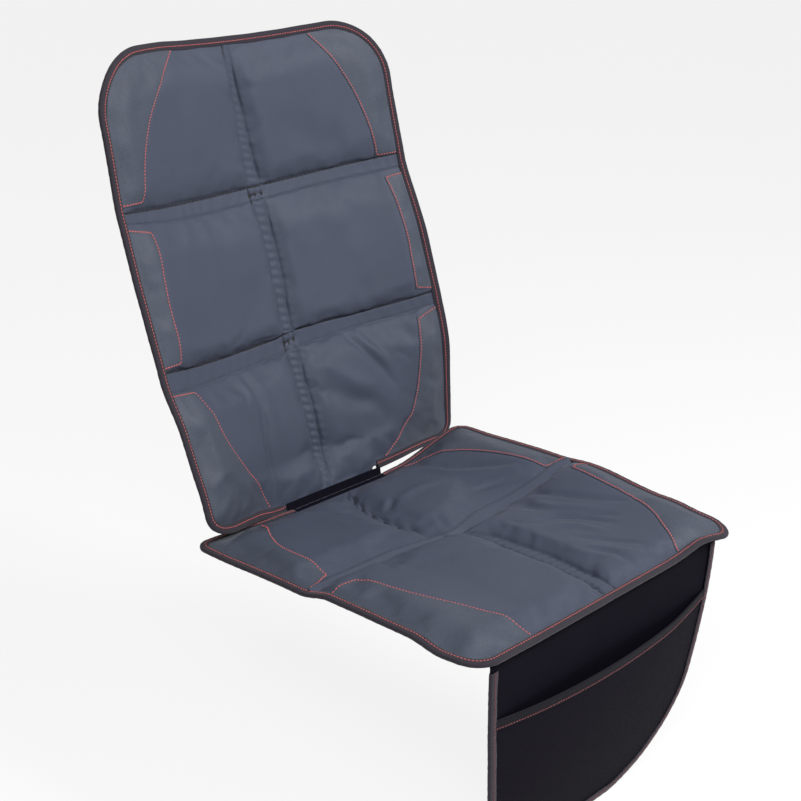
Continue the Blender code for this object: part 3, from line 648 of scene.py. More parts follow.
# Each has its panel, the heights at which it meets the tape at the side, and its inner edge.
BACK_FOOT, BACK_HEAD, SEAT_FRONT = SLOT + BAND, BACK_HEIGHT - BAND, SEAT_DEPTH - BAND
PATCH_TOP = 0.010
SEAT_PATCH_TOP = 0.008
PATCHES = {
    "back_patch_head_right": (
        back_sheet, 0.4060, None, bowed((0.198, 0.406), (0.190, 0.505), (0.126, BACK_HEAD)),
    ),
    "back_patch_head_left": (
        back_sheet, 0.4060, None, bowed((0.198, 0.406), (0.186, 0.505), (0.096, BACK_HEAD)),
    ),
    "back_patch_side_right": (back_sheet, 0.2190, 0.3810, on_back(
        PATCH_TOP, (416, 289), (411, 265), (406, 235), (396, 205), (385, 176),
    )),
    "back_patch_side_left": (back_sheet, 0.2135, 0.3810, on_back(
        PATCH_TOP, (183, 365), (178, 342), (168, 308), (160, 265), (157, 245), (153, 231),
    )),
    "back_patch_foot_right": (back_sheet, None, 0.1950, [(0.0985, BACK_FOOT)] + on_back(
        PATCH_TOP, (394, 445), (400, 432), (407, 415), (412, 400), (415, 380), (417, 360),
        (418, 345), (417.5, 317),
    )),
    "back_patch_foot_left": (back_sheet, None, 0.1835, [(-0.112, BACK_FOOT)] + on_back(
        PATCH_TOP, (265, 492), (255, 483), (243, 470), (232, 455), (222, 440), (212.5, 420),
        (205, 404), (196, 390),
    )),
    "seat_patch_rear_right": (seat_sheet, None, 0.1920, [(0.115, BAND)] + on_seat(
        SEAT_PATCH_TOP, (415, 461), (430, 458), (450, 456), (470, 455.5), (490, 457), (510, 460), (530, 464.5),
        (546.5, 467),
    )),
    "seat_patch_rear_left": (seat_sheet, None, 0.1900, [(-0.140, BAND)] + on_seat(
        SEAT_PATCH_TOP, (268, 528), (270, 540), (280, 553), (303, 563), (329, 574),
    )),
    "seat_patch_front_right": (seat_sheet, 0.2240, None, on_seat(
        SEAT_PATCH_TOP, (571, 472), (590, 481), (610, 491), (630, 501), (640, 507), (655, 520),
        (668, 537), (677, 548),
    )),
    "seat_patch_front_left": (seat_sheet, 0.2190, None, on_seat(
        SEAT_PATCH_TOP, (355, 583), (370, 587), (400, 597), (440, 607),
    ) + [(-0.152, 0.360), (-0.140, 0.3885), (-0.137, SEAT_FRONT)]),
}


def patch_list():
    for name, (sheet, start, end, marks) in PATCHES.items():
        inner = softened(np.abs(marks))
        yield name, sheet, (start, end, inner), 1.0 if name.endswith("right") else -1.0


def softened(marks, reach=9):
    line = resample(marks, 0.002)
    padded = np.concatenate([2 * line[:1] - line[reach:0:-1], line, 2 * line[-1:] - line[-2:-reach - 2:-1]])
    kernel = np.ones(2 * reach + 1) / (2 * reach + 1)
    return np.stack([np.convolve(padded[:, k], kernel, "valid") for k in (0, 1)], -1)


def near_line(u, v, line):
    best = np.full(np.shape(u), 9.0)
    share = np.zeros(np.shape(u))
    reach = np.concatenate([[0.0], np.cumsum(np.hypot(*np.diff(line, axis=0).T))])
    for k in range(len(line) - 1):
        ax, ay = line[k]
        dx, dy = line[k + 1] - line[k]
        t = np.clip(((u - ax) * dx + (v - ay) * dy) / (dx * dx + dy * dy), 0, 1)
        away = np.hypot(u - ax - t * dx, v - ay - t * dy)
        nearer = away < best
        best = np.where(nearer, away, best)
        share = np.where(nearer, (reach[k] + t * (reach[k + 1] - reach[k])) / reach[-1], share)
    return best, share


# %% [markdown]
# ## The padded faces
# Each block is a foam pad under the face cloth. The cloth is drawn down at the seams and
# stands up between them. The lower edge of a back block is steep, with a dark groove below
# it, and the upper edge is soft. The cloth is cut a little larger than the pad, so it also
# throws small folds: the long ones are drawn as lines, and a cloth simulation pulls the rest
# tight from the seams and swells it with a light pressure.

# %% Where each seam really runs: its drawn place, then places along it
SEAM_TOP = 0.003
RIDGE_TOP = 0.006
FINE_TOP = 0.004
LIP_TOP = 0.005
CHANNEL_EDGE = 0.007
SEAT_REAR_EDGE, SEAT_FRONT_EDGE = SEAT_SEAM - CHANNEL / 2, SEAT_SEAM + CHANNEL / 2
BACK_ROWS = (
    (BACK_SEAMS[0] - CHANNEL, on_back(
        RIDGE_TOP, (172, 394), (200, 386.5), (225, 377), (250, 367.5), (275, 357), (300, 346), (325, 337),
        (350, 328), (400, 315), (440, 302),
    )),
    (BACK_SEAMS[0], on_back(
        SEAM_TOP, (165, 373), (200, 365), (225, 357), (250, 348), (275, 339), (300, 328), (325, 321),
        (350, 315), (400, 301), (436, 290),
    )),
    (BACK_SEAMS[1] - CHANNEL, on_back(
        FINE_TOP, (130, 224), (170, 221), (200, 215), (250, 202), (300, 188), (350, 176), (400, 166),
    )),
    (BACK_SEAMS[1], on_back(
        SEAM_TOP, (125, 214), (160, 208), (200, 199), (250, 187), (300, 175), (350, 163), (396, 153),
    )),
)
BACK_COLUMNS = (
    (-CHANNEL_EDGE, [(-0.0205, 0.0)] + on_back(
        SEAM_TOP, (324, 485), (311, 445), (300, 400), (286, 352), (276, 305), (267, 262), (255, 215),
        (240, 150), (227, 75),
    )),
    (CHANNEL_EDGE, [(-0.007, 0.0)] + on_back(
        SEAM_TOP, (329, 475), (319.5, 440), (310, 400), (297.5, 352), (290.5, 325), (286, 305), (283.5, 285),
        (279, 262), (267.5, 215), (259, 182), (250.5, 150), (242.5, 115), (233, 75),
    )),
)
SEAT_ROWS = (
    (SEAT_REAR_EDGE, on_seat(
        LIP_TOP, (310, 590), (330, 579.5), (350, 571), (370, 562), (390, 552.5), (410, 545.5), (430, 539),
        (449, 533.5), (464, 527.5), (480, 512), (500, 501), (520, 489.5), (540, 477), (555, 465),
    )),
    (SEAT_FRONT_EDGE, on_seat(
        SEAM_TOP, (330, 586), (340, 582), (350, 577), (370, 568), (390, 560), (410, 553), (430, 546),
        (448, 539.5), (462, 534), (480, 524), (500, 511.5), (510, 505), (530, 492.5), (550, 478.5),
    )),
)
REAR_MIDDLE = np.array(on_seat(
    SEAM_TOP, (356, 506), (370, 516), (385, 523), (400, 528), (420, 532), (442, 535),
))
REAR_HALF_WIDTH = (0.004, 0.0)
SEAT_COLUMNS = (
    (-CHANNEL_EDGE, [(0.004, 0.0), *(REAR_MIDDLE - REAR_HALF_WIDTH), (0.0, 0.200)] + on_seat(
        SEAM_TOP, (469, 537), (483.5, 541), (515, 553), (549, 567), (570, 577), (583, 583), (611, 598),
    )),
    (CHANNEL_EDGE, [(0.014, 0.0), *(REAR_MIDDLE + REAR_HALF_WIDTH), (0.012, 0.200), (0.025, 0.215)] + [
        (0.030, 0.234), (0.032, 0.310), *on_seat(SEAM_TOP, (567, 565)), (0.021, 0.390),
        *on_seat(SEAM_TOP, (623, 592)),
    ]),
)


def bent(x, places, axis, blur=0.010):
    places = np.array(places)
    return np.mean([
        np.interp(x + shift, places[:, axis], places[:, 1 - axis]) for shift in np.linspace(-blur, blur, 7)
    ], axis=0)


def shifted(x, other, lines, axis, low, high):
    stops = [(low, 0.0)] + [(line, bent(other, places, axis) - line) for line, places in lines] + [(high, 0.0)]
    result = np.zeros(np.shape(x))
    for (a, first), (b, second) in zip(stops, stops[1:]):
        share = np.clip((x - a) / (b - a), 0.0, 1.0)
        result = np.where(x >= a, first + (second - first) * share, result)
    return x + result


def sewn(sheet, u, v):
    u, v = np.asarray(u, float), np.asarray(v, float)
    if sheet is back_sheet:
        rows, columns, low, high = BACK_ROWS, BACK_COLUMNS, SLOT, BACK_HEIGHT
    else:
        rows, columns, low, high = SEAT_ROWS, SEAT_COLUMNS, 0.0, SEAT_DEPTH
    return shifted(u, v, columns, 1, -HALF, HALF), shifted(v, u, rows, 0, low, high)


# %% Height of the padding
def round_end(distance, reach):
    x = np.clip(distance / reach, 0.0, 1.0)
    return np.sqrt(1.0 - (1.0 - x) ** 2)


def soft_end(distance, reach):
    return np.sin(np.clip(distance / reach, 0.0, 1.0) * math.pi / 2)


def ridge_end(distance, share, reach):
    return share * round_end(distance, 0.008) + (1.0 - share) * soft_end(distance, reach)


def back_padding(u, v):
    middle = ease((JOINT + 0.010 - np.abs(u)) / 0.016)
    foot = BACK_FOOT - 0.0090 * middle
    rows = (
        (foot, BACK_SEAMS[0] - CHANNEL, 0.015, 0.40, 0.042),
        (BACK_SEAMS[0], BACK_SEAMS[1] - CHANNEL, 0.022, 0.22, 0.046),
        (BACK_SEAMS[1], BACK_HEAD, 0.022, 0.0, 0.050),
    )
    along = np.zeros(np.shape(u))
    for low, high, reach, share, upper in rows:
        along = np.maximum(along, round_end(v - low, reach) * ridge_end(high - v, share, upper))
    across = np.where(u < 0, round_end(-u - 0.0068, 0.012), soft_end(u - 0.0068, 0.020))
    edge = edge_distance(u, v + 0.0090 * middle * (v < 0.1), *BACK_LIMITS) - BAND
    return CROWN * along * across * (0.25 * round_end(edge, 0.006) + 0.75 * soft_end(edge, 0.030))


def seat_padding(u, w):
    along = soft_end(w - 0.004, 0.034) * ridge_end(SEAT_REAR_EDGE - w, 0.25, 0.036)
    along = np.maximum(along, round_end(w - SEAT_FRONT_EDGE, 0.018) * soft_end(SEAT_FRONT - w, 0.040))
    front = ease((w - 0.185) / 0.01)
    across = np.where(u < 0, soft_end(-u - 0.0062, 0.018), round_end(u - 0.0062, 0.018))
    across = front * across + (1.0 - front) * soft_end(np.abs(u) - 0.003, 0.040)
    edge = edge_distance(u, w, *SEAT_LIMITS) - BAND
    return CROWN * along * across * (0.25 * round_end(edge, 0.006) + 0.75 * soft_end(edge, 0.030))


# %% Folds that lie across the blocks: line, width and depth
FOLD_TOP = 0.008
REAR_FOLD_TOP = 0.006
BACK_FOLDS = (
    ([(-0.090, 0.130), *on_back(FOLD_TOP, (262, 440), (266, 465), (272, 485), (279, 502))], 0.0050, -0.0062),
    ([(-0.078, 0.150), (-0.074, 0.095), (-0.080, 0.030)], 0.012, 0.0022),
    ([(-0.097, 0.178), *on_back(FOLD_TOP, (250, 390)), (-0.085, 0.125)], 0.007, -0.0032),
    ([(-0.060, 0.185), (-0.066, 0.120), (-0.070, 0.060)], 0.010, -0.0010),
    ([(0.088, 0.186), *on_back(FOLD_TOP, (365, 355), (380, 370)), (0.143, 0.100)], 0.006, -0.0040),
    ([(0.100, 0.186), (0.122, 0.156), (0.140, 0.130)], 0.007, 0.0026),
    ([
        (0.020, 0.126), (0.045, 0.116), *on_back(FOLD_TOP, (350, 400), (370, 402)), (0.122, 0.058),
    ], 0.013, -0.0050),
    ([(0.026, 0.162), *on_back(FOLD_TOP, (335, 372), (350, 382), (372, 390))], 0.010, 0.0026),
    ([(0.026, 0.180), (0.035, 0.130), (0.030, 0.060)], 0.010, -0.0018),
    ([(0.060, 0.085), (0.115, 0.050)], 0.012, -0.0016),
    ([(0.030, 0.350), (0.045, 0.300), (0.040, 0.250)], 0.014, -0.0016),
    ([(0.080, 0.365), (0.120, 0.330), (0.135, 0.280)], 0.018, 0.0014),
    ([(0.150, 0.350), (0.120, 0.300)], 0.018, -0.0012),
    ([(-0.030, 0.300), (-0.060, 0.250)], 0.020, -0.0010),
    ([(0.050, 0.480), (0.110, 0.440), (0.150, 0.425)], 0.022, -0.0012),
)
SEAT_FOLDS = (
    ([
        (0.118, 0.034), *on_seat(FOLD_TOP, (435, 470), (450, 472), (470, 471), (490, 470), (525, 467)),
    ], 0.0045, -0.0050),
    ([(0.104, 0.050), (0.120, 0.085), (0.140, 0.115), (0.160, 0.140)], 0.007, 0.0030),
    ([(0.080, 0.132), *on_seat(FOLD_TOP, (480, 492), (490, 488), (505, 483), (532, 478))], 0.0055, -0.0036),
    (on_seat(REAR_FOLD_TOP, (394, 505), (391, 510), (388, 514)), 0.0050, -0.0070),
    ([(0.012, 0.096), (0.026, 0.093), (0.060, 0.090), (0.090, 0.096)], 0.007, 0.0034),
    ([
        (-0.086, 0.030), *on_seat(REAR_FOLD_TOP, (313, 517), (350, 519), (380, 522), (400, 526)),
        (-0.017, 0.185),
    ], 0.0045, -0.0042),
    ([*on_seat(REAR_FOLD_TOP, (335, 526), (370, 530), (395, 528)), (-0.026, 0.158)], 0.0045, -0.0036),
    (on_seat(REAR_FOLD_TOP, (333, 502), (350, 506), (375, 517), (385, 521)), 0.0045, -0.0034),
    ([(-0.070, 0.060), (-0.048, 0.098), (-0.032, 0.125)], 0.005, 0.0020),
    ([(0.016, 0.155), *on_seat(FOLD_TOP, (438, 520), (447, 527)), (0.003, 0.190)], 0.0050, -0.0030),
    ([(-0.010, 0.118), *on_seat(FOLD_TOP, (415, 520)), (-0.004, 0.150)], 0.0060, -0.0026),
    ([
        (0.1415, 0.206), *on_seat(FOLD_TOP, (545, 498), (560, 499.5), (580, 502), (600, 504), (630, 506)),
    ], 0.0050, -0.0044),
    ([(0.118, 0.222), (0.125, 0.250), (0.140, 0.280), (0.155, 0.310)], 0.0075, 0.0026),
    (on_seat(
        FOLD_TOP, (505, 526), (520, 529), (535, 527), (545, 524), (560, 522), (580, 523),
        (600, 526), (620, 530),
    ), 0.0050, -0.0046),
    ([(0.066, 0.285), (0.090, 0.292), (0.104, 0.312), (0.112, 0.345)], 0.0075, 0.0030),
    ([(0.128, 0.290), *on_seat(FOLD_TOP, (600, 519), (620, 521))], 0.0050, -0.0026),
    ([(0.070, 0.315), *on_seat(FOLD_TOP, (580, 543), (600, 545), (630, 548)), (0.112, 0.400)], 0.0050, -0.0034),
    ([(0.064, 0.345), (0.076, 0.370), (0.086, 0.400)], 0.0060, 0.0020),
    ([
        (0.0565, 0.348), *on_seat(FOLD_TOP, (590, 555), (610, 558), (630, 563)), (0.0685, 0.415),
    ], 0.0050, -0.0028),
    ([(-0.130, 0.230), (-0.100, 0.242), (-0.070, 0.262)], 0.010, -0.0016),
)


def folded(u, v, folds):
    total = np.zeros(np.shape(u))
    for line, width, depth in folds:
        away, share = near_line(u, v, resample(line, 0.006))
        taper = np.sin(np.pi * np.clip(share, 0.0, 1.0)) ** 0.6
        total += depth * taper * (1.0 - 0.5 * (away / width) ** 2) * np.exp(-((away / width) ** 2) * 0.8)
    return total


# %% Draw the cloth down along the patches' seams
def patch_dents(u, v, panel):
    depth = np.zeros(np.shape(u))
    for name, sheet, curve, side in patch_list():
        if sheet is panel:
            away, share = near_line(u * side, v, resample(curve[2], 0.012))
            depth -= 0.0009 * np.exp(-((away / 0.0028) ** 2))
    return depth


# %% Simulate the face cloth
def pull_tight(piece, calm, fixed, floor, frames=16):
    group = piece.vertex_groups.new(name="sewn")
    group.add([int(k) for k in np.nonzero(fixed)[0]], 1.0, "REPLACE")
    before = points_of(piece)
    cloth = piece.modifiers.new("Cloth", "CLOTH")
    cloth.settings.quality = 5
    cloth.settings.mass = 0.2
    cloth.settings.tension_stiffness = 12
    cloth.settings.compression_stiffness = 10
    cloth.settings.shear_stiffness = 5
    cloth.settings.bending_stiffness = 0.4
    cloth.settings.shrink_min = -0.022
    cloth.settings.use_pressure = True
    cloth.settings.uniform_pressure_force = 1.5
    cloth.settings.vertex_group_mass = "sewn"
    cloth.settings.effector_weights.gravity = 0.0
    cloth.collision_settings.use_collision = False
    cloth.point_cache.frame_start = 1
    cloth.point_cache.frame_end = frames
    for number in range(1, frames + 1):
        bpy.context.scene.frame_set(number)
    select_only(piece)
    bpy.ops.object.modifier_apply(modifier="Cloth")
    bpy.context.scene.frame_set(1)
    moved = points_of(piece) - before
    height = np.einsum("ij,ij->i", moved, floor)
    side = moved - height[:, None] * floor
    height = np.clip(height, -0.0012, 0.0040) * calm
    side *= np.minimum(1.0, 0.002 / np.maximum(np.linalg.norm(side, axis=1), 1e-9))[:, None]
    place_points(piece, before + side + height[:, None] * floor)
    piece.vertex_groups.clear()
    print(piece.name, "moved up to", round(float(np.abs(height).max()) * 1000, 2), "mm")


# %% Small shapes along the seams
def crossing(u, v, centre_v, reach=0.011):
    r = np.hypot(u, v - centre_v)
    turn = np.arctan2(v - centre_v, u)
    knot = 0.0013 * np.cos(4 * turn + math.pi) * np.exp(-((r / reach) ** 2)) * np.clip(r / 0.004, 0, 1)
    return knot - 0.0016 * np.exp(-((r / 0.0032) ** 2))


def back_details(u, v):
    wobble = 0.0016 * np.sin(v / 0.031) + 0.0012 * np.sin(v / 0.0127 + 1.0)
    beat = np.abs(np.sin(np.pi * (v + 0.35 * u + wobble) / 0.0105)) ** 0.6
    strength = np.interp(v, (0.02, 0.2, 0.4, 0.58), (0.0026, 0.0024, 0.0018, 0.0006))
    inside = np.exp(-(((u - 0.0004) / 0.0052) ** 4)) + 0.55 * np.exp(-(((u - 0.0105) / 0.0035) ** 2))
    away = np.ones(np.shape(u))
    for seam in BACK_SEAMS:
        away = np.minimum(away, np.clip(np.abs(v - seam + CHANNEL / 2) / 0.012, 0, 1))
    shape = strength * beat * inside * away
    shape -= 0.0018 * np.exp(-(((u + 0.0070) / 0.0012) ** 2)) + 0.0010 * np.exp(-(((u - 0.0072) / 0.0014) ** 2))
    for seam in BACK_SEAMS:
        band = 0.00030 * np.sin(u / 0.0031 + 2 * np.sin(u / 0.017))
        band *= np.exp(-(((v - seam + 0.0095) / 0.0075) ** 4))
        groove = 0.0018 * np.exp(-(((v - seam + 0.0002) / 0.0013) ** 2))
        fine = 0.0007 * np.exp(-(((v - seam + CHANNEL) / 0.0010) ** 2))
        shape += band - groove - fine + crossing(u, v, seam - CHANNEL / 2)
    return shape


def seat_details(u, w):
    front = np.clip((w - 0.205) / 0.02, 0, 1) * np.clip((0.425 - w) / 0.012, 0, 1)
    chain = np.abs(np.sin(np.pi * (w - 0.5 * u + 0.0012 * np.sin(w / 0.011)) / 0.0120)) ** 0.6
    shape = 0.0026 * chain * np.exp(-((u / 0.0058) ** 4)) * front
    rear = np.clip((0.165 - w) / 0.02, 0, 1) * np.clip((w - 0.01) / 0.01, 0, 1)
    shape += 0.0012 * np.sin(w / 0.0034 + 3 * u / 0.01) * np.exp(-((u / 0.009) ** 2)) * rear
    valley = 0.0015 * np.exp(-(((u - 0.0068) / 0.0013) ** 2)) + 0.0013 * np.exp(-(((u + 0.0068) / 0.0013) ** 2))
    shape -= valley * (0.35 + 0.65 * ease((w - 0.185) / 0.01))
    shape -= 0.0018 * np.exp(-(((w - 0.1942) / 0.0012) ** 2))
    shape += 0.0042 * np.clip((0.1940 - w) / 0.0175, 0.0, 1.0) * ease((w - 0.1715) / 0.004)
    return shape + crossing(u, w, SEAT_SEAM, 0.013)


# %% Make one padded face
def padded_face(name, sheet, columns, rows, limits, padding, folds, details, joint):
    piece = flat_grid(name, columns, rows)
    low = limits[0]

    def lost(u, v):
        near = edge_distance(u, v, *limits) < 0.0045
        middle = (np.abs(u) < JOINT + 0.001) & (v < low + 0.02)
        return near & ~middle

    cut_away(piece, lost)
    flat = points_of(piece)
    u, v = flat[:, 0], flat[:, 1]
    keep_pattern(piece, u, v)
    lift = padding(u, v)
    share = np.clip(lift / CROWN * 1.6, 0.0, 1.0)
    u, v = sewn(sheet, u, v)
    height = FACE_TOP + lift + folded(u, v, folds) * share
    place_points(piece, lay(sheet, u, v, height))
    if FACING[sheet] < 0:
        flip_faces(piece)
    calm = np.interp(v, (0.19, 0.24), (1.0, 0.45)) if sheet is back_sheet else np.ones(len(v))
    pull_tight(piece, calm, lift < 0.0004, outward(sheet, u, v))
    apply_modifier(piece, "SUBSURF", levels=1, render_levels=1)
    u, v = pattern_of(piece)
    share = np.clip(padding(u, v) / CROWN * 1.6, 0.0, 1.0)
    shape = details(u, v) * joint(v)
    u, v = sewn(sheet, u, v)
    shape += patch_dents(u, v, sheet) * share
    place_points(piece, points_of(piece) + outward(sheet, u, v) * shape[:, None])
    return piece


def pattern_of(piece):
    corners = np.empty(len(piece.data.loops), dtype=np.int64)
    piece.data.loops.foreach_get("vertex_index", corners)
    flat = np.empty(len(corners) * 2)
    piece.data.uv_layers["pattern"].data.foreach_get("uv", flat)
    result = np.zeros((len(piece.data.vertices), 2))
    result[corners] = flat.reshape(-1, 2)
    return result[:, 0], result[:, 1]


# %% The back panel's face
FINE = (
    -0.020, -0.014, -0.0105, -0.0088, -0.0072, -0.0056, -0.0028, 0.0,
    0.0028, 0.0056, 0.0076, 0.0094, 0.012, 0.022,
)
TAPE_LINE = HALF - BAND
back_columns = spaced((-HALF, -TAPE_LINE, *FINE, TAPE_LINE, HALF), 0.0058)
back_knots = [SLOT, BACK_FOOT]
for seam in BACK_SEAMS:
    back_knots += [seam - d for d in (0.0215, 0.0200, 0.0190, 0.0178, 0.0150, 0.0028, 0.0012, 0.0002)]
    back_knots += [seam + d for d in (0.0008, 0.0022, 0.0042, 0.0070, 0.0110, 0.0160)]
back_rows = spaced(back_knots + [BACK_HEAD, BACK_HEIGHT], 0.0050)
back_face = padded_face(
    "back_face_cloth", back_sheet, back_columns, back_rows, BACK_LIMITS, back_padding, BACK_FOLDS,
    back_details, lambda v: np.clip((v - 0.008) / 0.01, 0, 1)
)


# %% The seat panel's face
seat_columns = spaced((-HALF, -TAPE_LINE, *FINE, TAPE_LINE, HALF), 0.0058)
seat_knots = [0.0, BAND, SEAT_REAR_EDGE, SEAT_SEAM, 0.1910, 0.1928, 0.1940, 0.1952, 0.1968, 0.199, 0.203, 0.208]
seat_rows = spaced(seat_knots + [SEAT_FRONT, SEAT_DEPTH], 0.0045)
seat_face = padded_face(
    "seat_face_cloth", seat_sheet, seat_columns, seat_rows, SEAT_LIMITS, seat_padding, SEAT_FOLDS,
    seat_details, lambda w: np.clip((w - 0.001) / 0.01, 0, 1)
)


# %% Remember the finished faces, for what is sewn on top
def surface_of(piece):
    mesh = piece.data
    return BVHTree.FromPolygons(
        [v.co.copy() for v in mesh.vertices], [tuple(p.vertices) for p in mesh.polygons]
    )


face_trees = {back_sheet: surface_of(back_face), seat_sheet: surface_of(seat_face)}


def on_face(sheet, u, v, lift):
    base = lay(sheet, u, v, np.full(np.shape(u), 0.04))
    normal = outward(sheet, u, v)
    resting = lay(sheet, u, v, np.full(np.shape(u), FACE_TOP))
    found = []
    for start, direction, fallback in zip(base.reshape(-1, 3), normal.reshape(-1, 3), resting.reshape(-1, 3)):
        hit = face_trees[sheet].ray_cast(Vector(start), Vector(-direction), 0.07)[0]
        found.append(fallback if hit is None else np.array(hit))
    return np.array(found).reshape(base.shape) + normal * lift


# %% Give the faces their thickness
for piece, replaced in (
    (back_face, ["back_face"] + [f"back_pad_{k}_{s}" for k in (1, 2, 3) for s in ("left", "right")]),
    (seat_face, ["seat_face"] + [f"seat_pad_{k}_{s}" for k in (1, 2) for s in ("left", "right")]),
):
    apply_modifier(piece, "SOLIDIFY", thickness=0.0011, offset=-1.0)
    finish_piece(piece, oxford, replaced)


# %% [markdown]
# ## The backing
# Behind the foam lies one flat non-slip cloth per panel, drawn in slightly at the seams.

# %% Make the backings
def backing(name, sheet, columns, rows, limits, padding, node):
    piece = flat_grid(name, columns, rows)
    cut_away(piece, lambda u, v: edge_distance(u, v, *limits) < 0.002)
    spots = points_of(piece)
    u, v = spots[:, 0], spots[:, 1]
    keep_pattern(piece, u, v)
    dimple = 0.0009 * (1.0 - np.clip(padding(u, v) / CROWN * 3.0, 0.0, 1.0))
    place_points(piece, lay(sheet, *sewn(sheet, u, v), 0.0001 + dimple))
    if FACING[sheet] > 0:
        flip_faces(piece)
    apply_modifier(piece, "SOLIDIFY", thickness=0.0009, offset=-1.0)
    finish_piece(piece, backing_finish, [node], 50)


backing(
    "back_backing_cloth", back_sheet, back_columns, back_rows, BACK_LIMITS, back_padding,
    "back_backing"
)
backing(
    "seat_backing_cloth", seat_sheet, seat_columns, seat_rows, SEAT_LIMITS, seat_padding,
    "seat_backing"
)


# %% [markdown]
# ## Leatherette patches
# A patch is a strip between its curved inner edge and the edge tape. It is drawn as rows
# of points from one to the other, dropped onto the padded face, and given its thickness.

# %% Outer edge of a patch, beside the tape
def patch_edge(sheet, curve, inset=0.0098):
    start, end, inner = curve
    limits = BACK_LIMITS if sheet is back_sheet else SEAT_LIMITS
    run = edge_run(*limits, 0.001)
    run = run - sideways(run) * inset
    run = run[: len(run) // 2]

    def nearest(level, mark):
        if level is None:
            return int(np.argmin(np.hypot(*(run - mark).T)))
        return int(np.argmin(np.hypot(run[:, 0] - (HALF - inset), run[:, 1] - level)))

    return run[nearest(start, inner[0]):nearest(end, inner[-1]) + 1]


# %% Make a patch
def patch(name, sheet, curve, side):
    inner = curve[2]
    outer = patch_edge(sheet, curve)
    count = max(int(np.hypot(*np.diff(outer, axis=0).T).sum() / 0.0028), 20)
    inner = resample(inner, np.hypot(*np.diff(inner, axis=0).T).sum() / count)[: count + 1]
    outer = resample(outer, np.hypot(*np.diff(outer, axis=0).T).sum() / count)[: count + 1]
    piece = flat_grid(name, np.linspace(0, 1, 15), np.linspace(0, 1, count + 1))
    spots = points_of(piece)
    row = np.rint(spots[:, 1] * count).astype(int)
    flat = inner[row] + (outer[row] - inner[row]) * spots[:, :1]
    u, v = flat[:, 0] * side, flat[:, 1]
    keep_pattern(piece, u, v)
    place_points(piece, on_face(sheet, u, v, 0.00012))
    if side * FACING[sheet] < 0:
        flip_faces(piece)
    apply_modifier(piece, "SOLIDIFY", thickness=0.00075, offset=1.0)
    apply_modifier(piece, "BEVEL", width=0.0002, segments=1, limit_method="ANGLE")
    finish_piece(piece, leatherette, [name.replace("_leather", "")], 40)


for name, sheet, curve, side in patch_list():
    patch(f"{name}_leather", sheet, curve, side)


# %% [markdown]
# ## Edge tape
# The tape is folded over the raw edge of all layers. Its cross-section is a rounded U that
# is swept round the panel, and the two lips wander a little, as hand-guided tape does.

# %% Section of the folded tape: outward distance and height
def tape_section(top):
    upper, lower = top + 0.0005, -0.0003
    return np.array([
        (-0.0098, lower - 0.0007), (-0.0050, lower - 0.0010), (-0.0006, lower - 0.0008),
        (0.0006, lower - 0.0001), (0.0011, (upper + lower) / 2), (0.0006, upper + 0.0001),
        (-0.0008, upper + 0.0008), (-0.0040, upper + 0.0011), (-0.0080, upper + 0.0010),
        (-0.0096, upper + 0.0007), (-0.0100, upper + 0.0002), (-0.0094, upper),
        (-0.0006, upper), (0.0002, (upper + lower) / 2), (-0.0006, lower), (-0.0097, lower),
    ])


# %% Sweep the tape along an edge
def tape(name, sheet, run, top, node, seed):
    section = tape_section(top)
    reach = np.concatenate([[0.0], np.cumsum(np.hypot(*np.diff(run, axis=0).T))])
    out = sideways(run)
    phases = np.random.default_rng(seed).uniform(0, 2 * math.pi, 6)
    wander = 0.00035 * (np.sin(reach / 0.021 + phases[0]) + np.sin(reach / 0.0087 + phases[1]))
    pucker = 0.00022 * (np.sin(reach / 0.0019 + phases[2]) * np.sin(reach / 0.013 + phases[3]))
    piece = flat_grid(name, np.linspace(0, 1, len(section) + 1), np.linspace(0, 1, len(run)))
    spots = points_of(piece)
    row = np.rint(spots[:, 1] * (len(run) - 1)).astype(int)
    ring = np.rint(spots[:, 0] * len(section)).astype(int) % len(section)
    distance = section[ring, 0] + np.where(section[ring, 0] < -0.007, wander[row], 0.3 * wander[row])
    height = section[ring, 1] + np.where(section[ring, 1] > top, pucker[row], -pucker[row])
    flat = run[row] + out[row] * distance[:, None]
    lengths = np.concatenate([[0.0], np.cumsum(np.hypot(*np.diff(section, axis=0).T))])
    lengths = np.append(lengths, lengths[-1] + 0.001)
    keep_pattern(piece, lengths[np.rint(spots[:, 0] * len(section)).astype(int)], reach[row])
    place_points(piece, lay(sheet, flat[:, 0], flat[:, 1], height))
    close_tube(piece)
    finish_piece(piece, tape_finish, [node], 60)


back_run = edge_run(*BACK_LIMITS)
seat_run = edge_run(*SEAT_LIMITS)
tape("back_binding_tape", back_sheet, back_run, FACE_TOP, "back_binding", 3)
tape("seat_binding_tape", seat_sheet, seat_run, FACE_TOP, "seat_binding", 5)


# %% [markdown]
# ## The front flap
# The flap is one layer of near-black cloth with a seam allowance under the seat panel. It
# narrows slowly and ends in wide round corners.

# %% Width of the flap at a drop
def flap_half(t):
    half = 0.2090 - 0.0385 * ease(np.maximum(t, 0.0) / (FLAP_DROP * 1.3))
    past = np.clip((t - (FLAP_DROP - 0.115)) / 0.115, 0.0, 1.0)
    return np.where(past > 0, 0.045 + (half - 0.045) * (1.0 - past**2.3) ** 0.66, half)


def mouth(u):
    return 0.069 + 0.004 * (1.0 - (u / 0.211) ** 2)


def pocket_gape(u, t):
    side = 1.0 - np.minimum(np.abs(u) / (flap_half(t) - BAND), 1.0) ** 2
    depth = (t - mouth(u)) / (FLAP_DROP - BAND - mouth(u))
    return 0.014 * side * (1.0 - np.clip(depth, 0.0, 1.0) ** 2)


